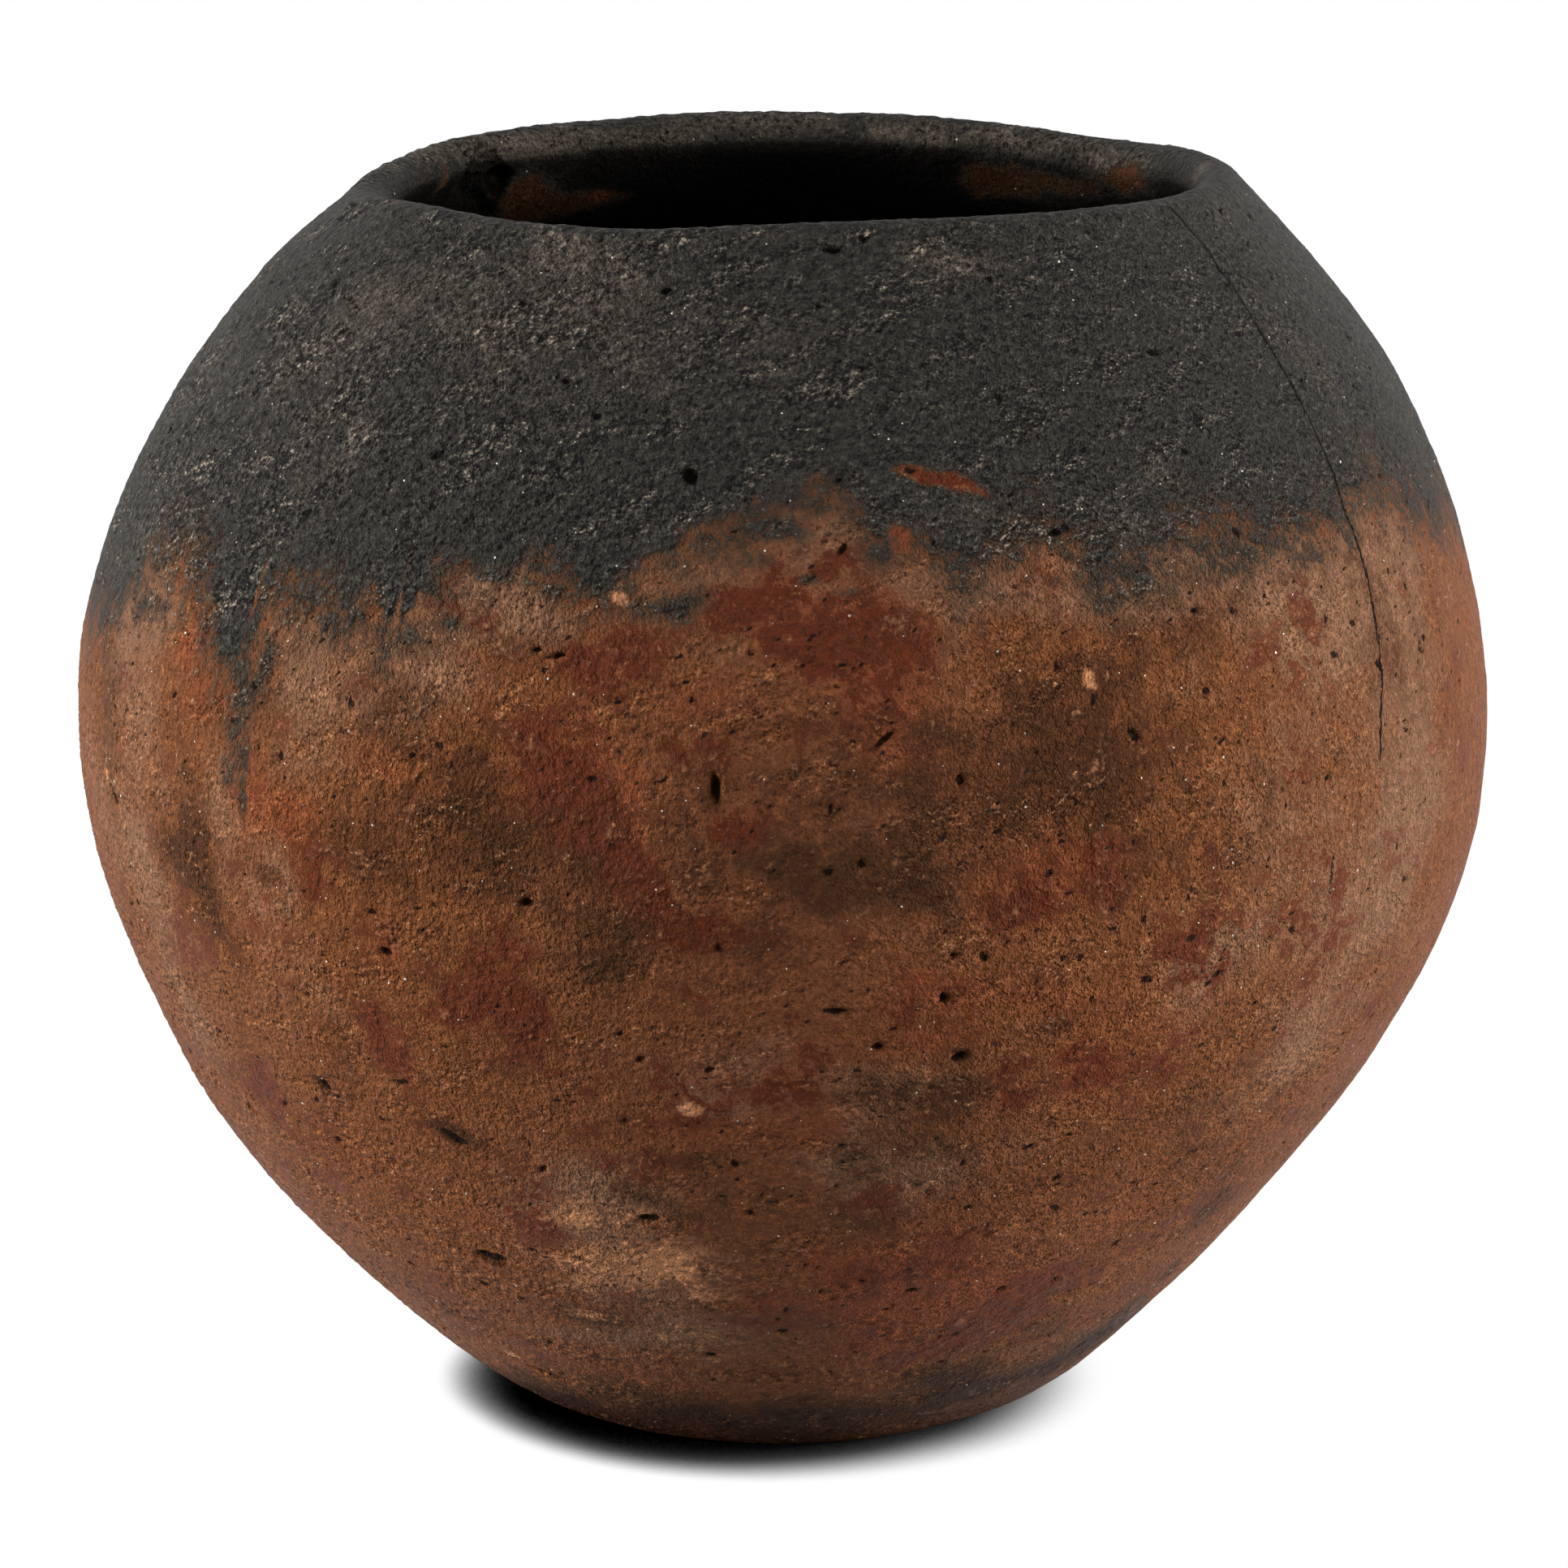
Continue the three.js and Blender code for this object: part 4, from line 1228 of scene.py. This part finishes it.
def mesh_and_noise_fields(node):
    """The fields that the mesh carries and the noises of the clay. A noise's swing is its distance
    from its middle, and the painted ledge light is how much the clay's noise falls off towards the
    upper left, times its roughness: a painted light and shade, as if the lumps were lit from there.
    Each white grain and each chaff void has a size, and its distance tells how far off its centre is."""
    place = node("TexCoord", {}, output=OBJECT_PLACE)
    fields = {
        name: node("Attribute", {}, output=CARRIED_NUMBER, attribute_name=name)
        for name in FINISH if name != "strokes"
    }
    falls = []
    for name, (size, layers, roughness) in NOISES.items():
        inputs = {"Vector": place, "Scale": per_mm(size), "Detail": layers, "Roughness": roughness}
        fields[name] = node("TexNoise", inputs)
        if name in PAINTED_LIGHT_LEDGES:
            inputs["Vector"] = node("VectorMath", {0: place, 1: PAINTED_LIGHT_STEP}, operation="ADD")
            beyond = node("TexNoise", inputs)
            fall = node("Math", {0: fields[name], 1: beyond}, operation="SUBTRACT")
            falls.append((fall, PAINTED_LIGHT_LEDGES[name]))
    for name in EDGE_NOISES:
        inputs = {0: fields[name], 1: NOISE_MIDDLE}
        fields[name + "_swing"] = node("Math", inputs, operation="SUBTRACT")
    ledge = weighted_sum(node, falls)
    fields["ledge"] = node("Math", {0: ledge, 1: fields["rough"]}, operation="MULTIPLY")
    strokes = node("Attribute", {}, output=CARRIED_VECTOR, attribute_name="strokes")
    strokes = node("VectorMath", {0: strokes, 1: CHAFF_SQUEEZE}, operation="MULTIPLY")
    for name, vector in (("grain", place), ("chaff", strokes)):
        cell, rarity = CELLS[name]
        inputs = {"Vector": vector, "Scale": per_mm(cell)}
        fields[name + "_distance"] = node("TexVoronoi", inputs)
        chosen = node("TexVoronoi", inputs, output=CELL_COLOUR)
        fields[name + "_size"] = node("Math", {0: chosen, 1: rarity}, operation="POWER")
    return fields


def finish_fields(node):
    """All fields of the clay: what the mesh and the noises give, and where each finish lies. The
    slip is smooth only where it isn't blackened."""
    fields = mesh_and_noise_fields(node)
    over = node("Math", {0: fields["above_border"], 1: fields["edge_softness"]}, operation="DIVIDE")
    swings = [(fields[name + "_swing"], reach) for name, reach in EDGE_NOISES.items()]
    fields["over_edge"] = weighted_sum(node, swings, over)
    add_shares(node, fields, COVERS, "SMOOTHSTEP")
    inputs = {0: fields["slipped"], 1: fields["blackened"]}
    fields["smooth"] = node("Math", inputs, operation="SUBTRACT", use_clamp=True)
    bent = weighted_sum(node, [(fields["crumb"], CRACK_BEND)], fields["crack"])
    bent = node("Math", {0: bent, 1: CRACK_BEND / 2}, operation="SUBTRACT")
    fields["off_crack"] = node("Math", {0: bent}, operation="ABSOLUTE")
    add_shares(node, fields, DETAILS, "LINEAR")
    # Painted shade in the hollows, the chaff voids and the crack
    shade_in_hollows = node("Math", {0: fields["shade_in_hollows"], 1: fields["chaff"]}, operation="MAXIMUM")
    shade_in_hollows = node("Math", {0: shade_in_hollows, 1: SUNKEN_SHADE}, operation="MULTIPLY")
    fields["shaded"] = node("Math", {0: shade_in_hollows, 1: fields["cracked"]}, operation="MAXIMUM")
    for name, (finish, without, within) in DIFFERENCES.items():
        inputs = {"Value": fields[finish], "To Min": without, "To Max": within}
        fields[name] = node("MapRange", inputs)
    return fields


def coated(node, fields, colour, coats):
    """A colour after each coat in turn has covered its share of it."""
    for share, coat in coats:
        inputs = {MIX_SHARE: fields[share], MIX_UNDER: colour, MIX_OVER: coat}
        colour = node("Mix", inputs, output=MIXED_COLOUR, data_type="RGBA")
    return colour


def clay_colour(node, fields):
    """Colour of the clay and its coats, with a painted highlight on the lumps and painted shade in the
    pits and hollows, then lighter or darker with the grain, crumbs and ledges: a painted light and
    shade of the fine relief, lighter where it stands up, darker in its gaps and lit from the upper left.
    """
    charcoal = coated(node, fields, CHARCOAL, [("hazed", CHARCOAL_HAZE), ("dust_and_highlight", CHARCOAL_DUST_AND_HIGHLIGHT)])
    colour = coated(node, fields, CLAY_BROWN, [
        ("tanned", CLAY_TAN),
        ("crested", CREST_OCHRE),
        ("embered", EMBER_RED),
        ("slipped", coated(node, fields, SLIP_RED, [("rosy", SLIP_ROSE)])),
        ("smoked", SMOKE_BROWN),
        ("scorched", SCORCH_BROWN),
        ("fumed", FUME_GREY),
        ("paled", PALE_CLAY),
        ("blackened", coated(node, fields, SOOT_BROWN, [("charred", charcoal)])),
        ("painted_highlight_edge", coated(node, fields, PAINTED_HIGHLIGHT_OCHRE, [("blackened", PAINTED_HIGHLIGHT_GREY)])),
        # Painted shade in the pits and hollows
        ("shaded_pits", PAINTED_SHADE_BROWN),
        ("grain", GRAIN_WHITE),
        ("shaded", PAINTED_SHADE_BROWN),
    ])
    inputs = {0: fields["grit_contrast"], 1: fields["rough"]}
    grit_contrast = node("Math", inputs, operation="MULTIPLY")
    # Painted light and shade of the fine relief and of the lumps
    shade = weighted_sum(node, [
        (fields["grit_swing"], grit_contrast),
        (fields["crumb_swing"], fields["crumb_contrast"]),
        (fields["crest"], CREST_CONTRAST),
        (fields["ledge"], fields["ledge_contrast"]),
    ], 1.0)
    shade = node("Math", {0: shade, 1: DARKEST_SHADE}, operation="MAXIMUM")
    return node("VectorMath", {0: colour, "Scale": shade}, operation="SCALE")


def earthenware():
    """Low-fired earthenware tempered with chaff and grit, slipped red, burnished and blackened at
    the top. It is nearly matt. The slip is smooth and deep red where it is left, the worn clay is
    grainy and tan to orange, and the blackened part is charcoal with pale dust on its grain, partly a
    painted highlight. Its colour also holds painted light and shade of its relief, its pits and its
    inside."""
    material, node = new_material("slipped_and_blackened_earthenware")
    fields = finish_fields(node)
    terms = [(fields["grit"], fields["grit_height"]), (fields["flakes"], fields["flake_height"])]
    terms += [(fields[name], height) for name, height in HEIGHTS.items()]
    inputs = {"Height": weighted_sum(node, terms), "Strength": 1.0, "Distance": METRES}
    clay = node("BsdfPrincipled", {
        "Base Color": clay_colour(node, fields),
        "Roughness": fields["gloss"],
        "IOR": CLAY_IOR,
        "Specular IOR Level": CLAY_REFLECTION,
        "Normal": node("Bump", inputs),
    })
    node("OutputMaterial", {"Surface": clay})
    return material


# Studio

# How far off the pot still shades the paper, in millimetres, and how many rays measure that
SHADOW_REACH = 7.0
SHADOW_SAMPLES = 16
# How open to the light the paper is where it shows black, and where it shows white
SHADOW_OPENNESS = (0.3, 0.94)
TOWARDS_LIGHT = {"X": 0.74, "Y": 0.29, "Z": 0.64}
# Half the side of the floor in metres
FLOOR_HALF_SIZE = 4.0
# Soft boxes: place, width and height in metres, and power in watts
LAMP_AIM = (0.0, 0.0, 0.07)
SOFT_BOXES = {
    "left_box": ((-0.94, -0.21, 0.17), 0.5, 0.32, 16.8),
    "right_box": ((0.94, -0.21, 0.17), 0.5, 0.32, 16.8),
    "overhead_box": ((-0.15, -0.35, 0.85), 0.5, 0.5, 1.0),
}
# Strength of the white room where it lights the pot, and where the camera sees it
ROOM_LIGHT = 0.24
ROOM_SHOWN = 1.0
# Nothing nearer to the camera than this many metres is drawn
NEAREST_DRAWN = 0.05


def shown(node):
    """One for the rays that show the surroundings themselves: seen, mirrored or seen through."""
    camera_ray, glossy_ray, through_ray = (
        node("LightPath", {}, output=kind) for kind in RAY_KINDS
    )
    either = node("Math", {0: camera_ray, 1: glossy_ray}, operation="MAXIMUM")
    return node("Math", {0: either, 1: through_ray}, operation="MAXIMUM")


def pale_floor():
    """A pale floor. To the camera it is white paper with the pot's own shadow, which lies a little
    to the left, and to the pot it is a dim sheet, so that little light comes up from it."""
    material, node = new_material("white_paper_floor")
    inputs = {"Distance": SHADOW_REACH * METRES, "Normal": node("CombineXYZ", TOWARDS_LIGHT)}
    openness = node("AmbientOcclusion", inputs, output=OPENNESS, samples=SHADOW_SAMPLES)
    black, white = SHADOW_OPENNESS
    inputs = {"Value": openness, "From Min": black, "From Max": white}
    lit = node("MapRange", inputs, interpolation_type="SMOOTHSTEP")
    paper = node("Emission", {"Color": WHITE, "Strength": lit})
    sheet = node("BsdfDiffuse", {"Color": FLOOR_GREY})
    node("OutputMaterial", {"Surface": node("MixShader", {0: shown(node), 1: sheet, 2: paper})})
    mesh = bpy.data.meshes.new("floor")
    turns = [(-1, -1), (1, -1), (1, 1), (-1, 1)]
    corners = [(x * FLOOR_HALF_SIZE, y * FLOOR_HALF_SIZE, 0.0) for x, y in turns]
    mesh.from_pydata(corners, [], [(0, 1, 2, 3)])
    mesh.materials.append(material)
    floor = bpy.data.objects.new("floor", mesh)
    bpy.context.scene.collection.objects.link(floor)
    floor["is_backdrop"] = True


def soft_box(name, place, width, height, power):
    """A rectangular lamp that faces the pot."""
    light = bpy.data.lights.new(name, "AREA")
    light.shape = "RECTANGLE"
    light.size = width
    light.size_y = height
    light.energy = power
    lamp = bpy.data.objects.new(name, light)
    lamp.location = place
    direction = Vector(LAMP_AIM) - Vector(place)
    lamp.rotation_euler = direction.to_track_quat("-Z", "Y").to_euler()
    bpy.context.scene.collection.objects.link(lamp)


def studio():
    """Two low soft boxes beside the pot, a little in front of it, a weak one overhead and a weak even
    light all round."""
    pale_floor()
    for name, box in SOFT_BOXES.items():
        soft_box(name, *box)
    world = bpy.data.worlds.new("white_room")
    bpy.context.scene.world = world
    world.use_nodes = True
    world.node_tree.nodes.clear()
    node = partial(add_node, world.node_tree)
    inputs = {"Value": shown(node), "To Min": ROOM_LIGHT, "To Max": ROOM_SHOWN}
    sky = node("Background", {"Color": WHITE, "Strength": node("MapRange", inputs)})
    node("OutputWorld", {"Surface": sky})


def camera():
    """The photograph's camera, with a lens that gives its pixels per millimetre at the pot."""
    lens = bpy.data.cameras.new("camera")
    lens.sensor_width = SENSOR
    lens.lens = SENSOR * PIXELS_PER_MM * CAMERA_DISTANCE / PHOTO_SIZE
    lens.clip_start = NEAREST_DRAWN
    viewer = bpy.data.objects.new("camera", lens)
    viewer.location = EYE * METRES
    viewer.rotation_euler = (math.pi / 2 - CAMERA_TILT, 0.0, 0.0)
    bpy.context.scene.collection.objects.link(viewer)
    bpy.context.scene.camera = viewer


camera()
studio()
clay = earthenware()
for number, (name, slot) in enumerate(PIECES):
    build_piece(number, name, slot, clay)

bpy.context.scene.view_settings.view_transform = "Standard"
boxes = {"cad": CAD_BOX, "visual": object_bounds()}
{key: [list(corner) for corner in box] for key, box in boxes.items()}
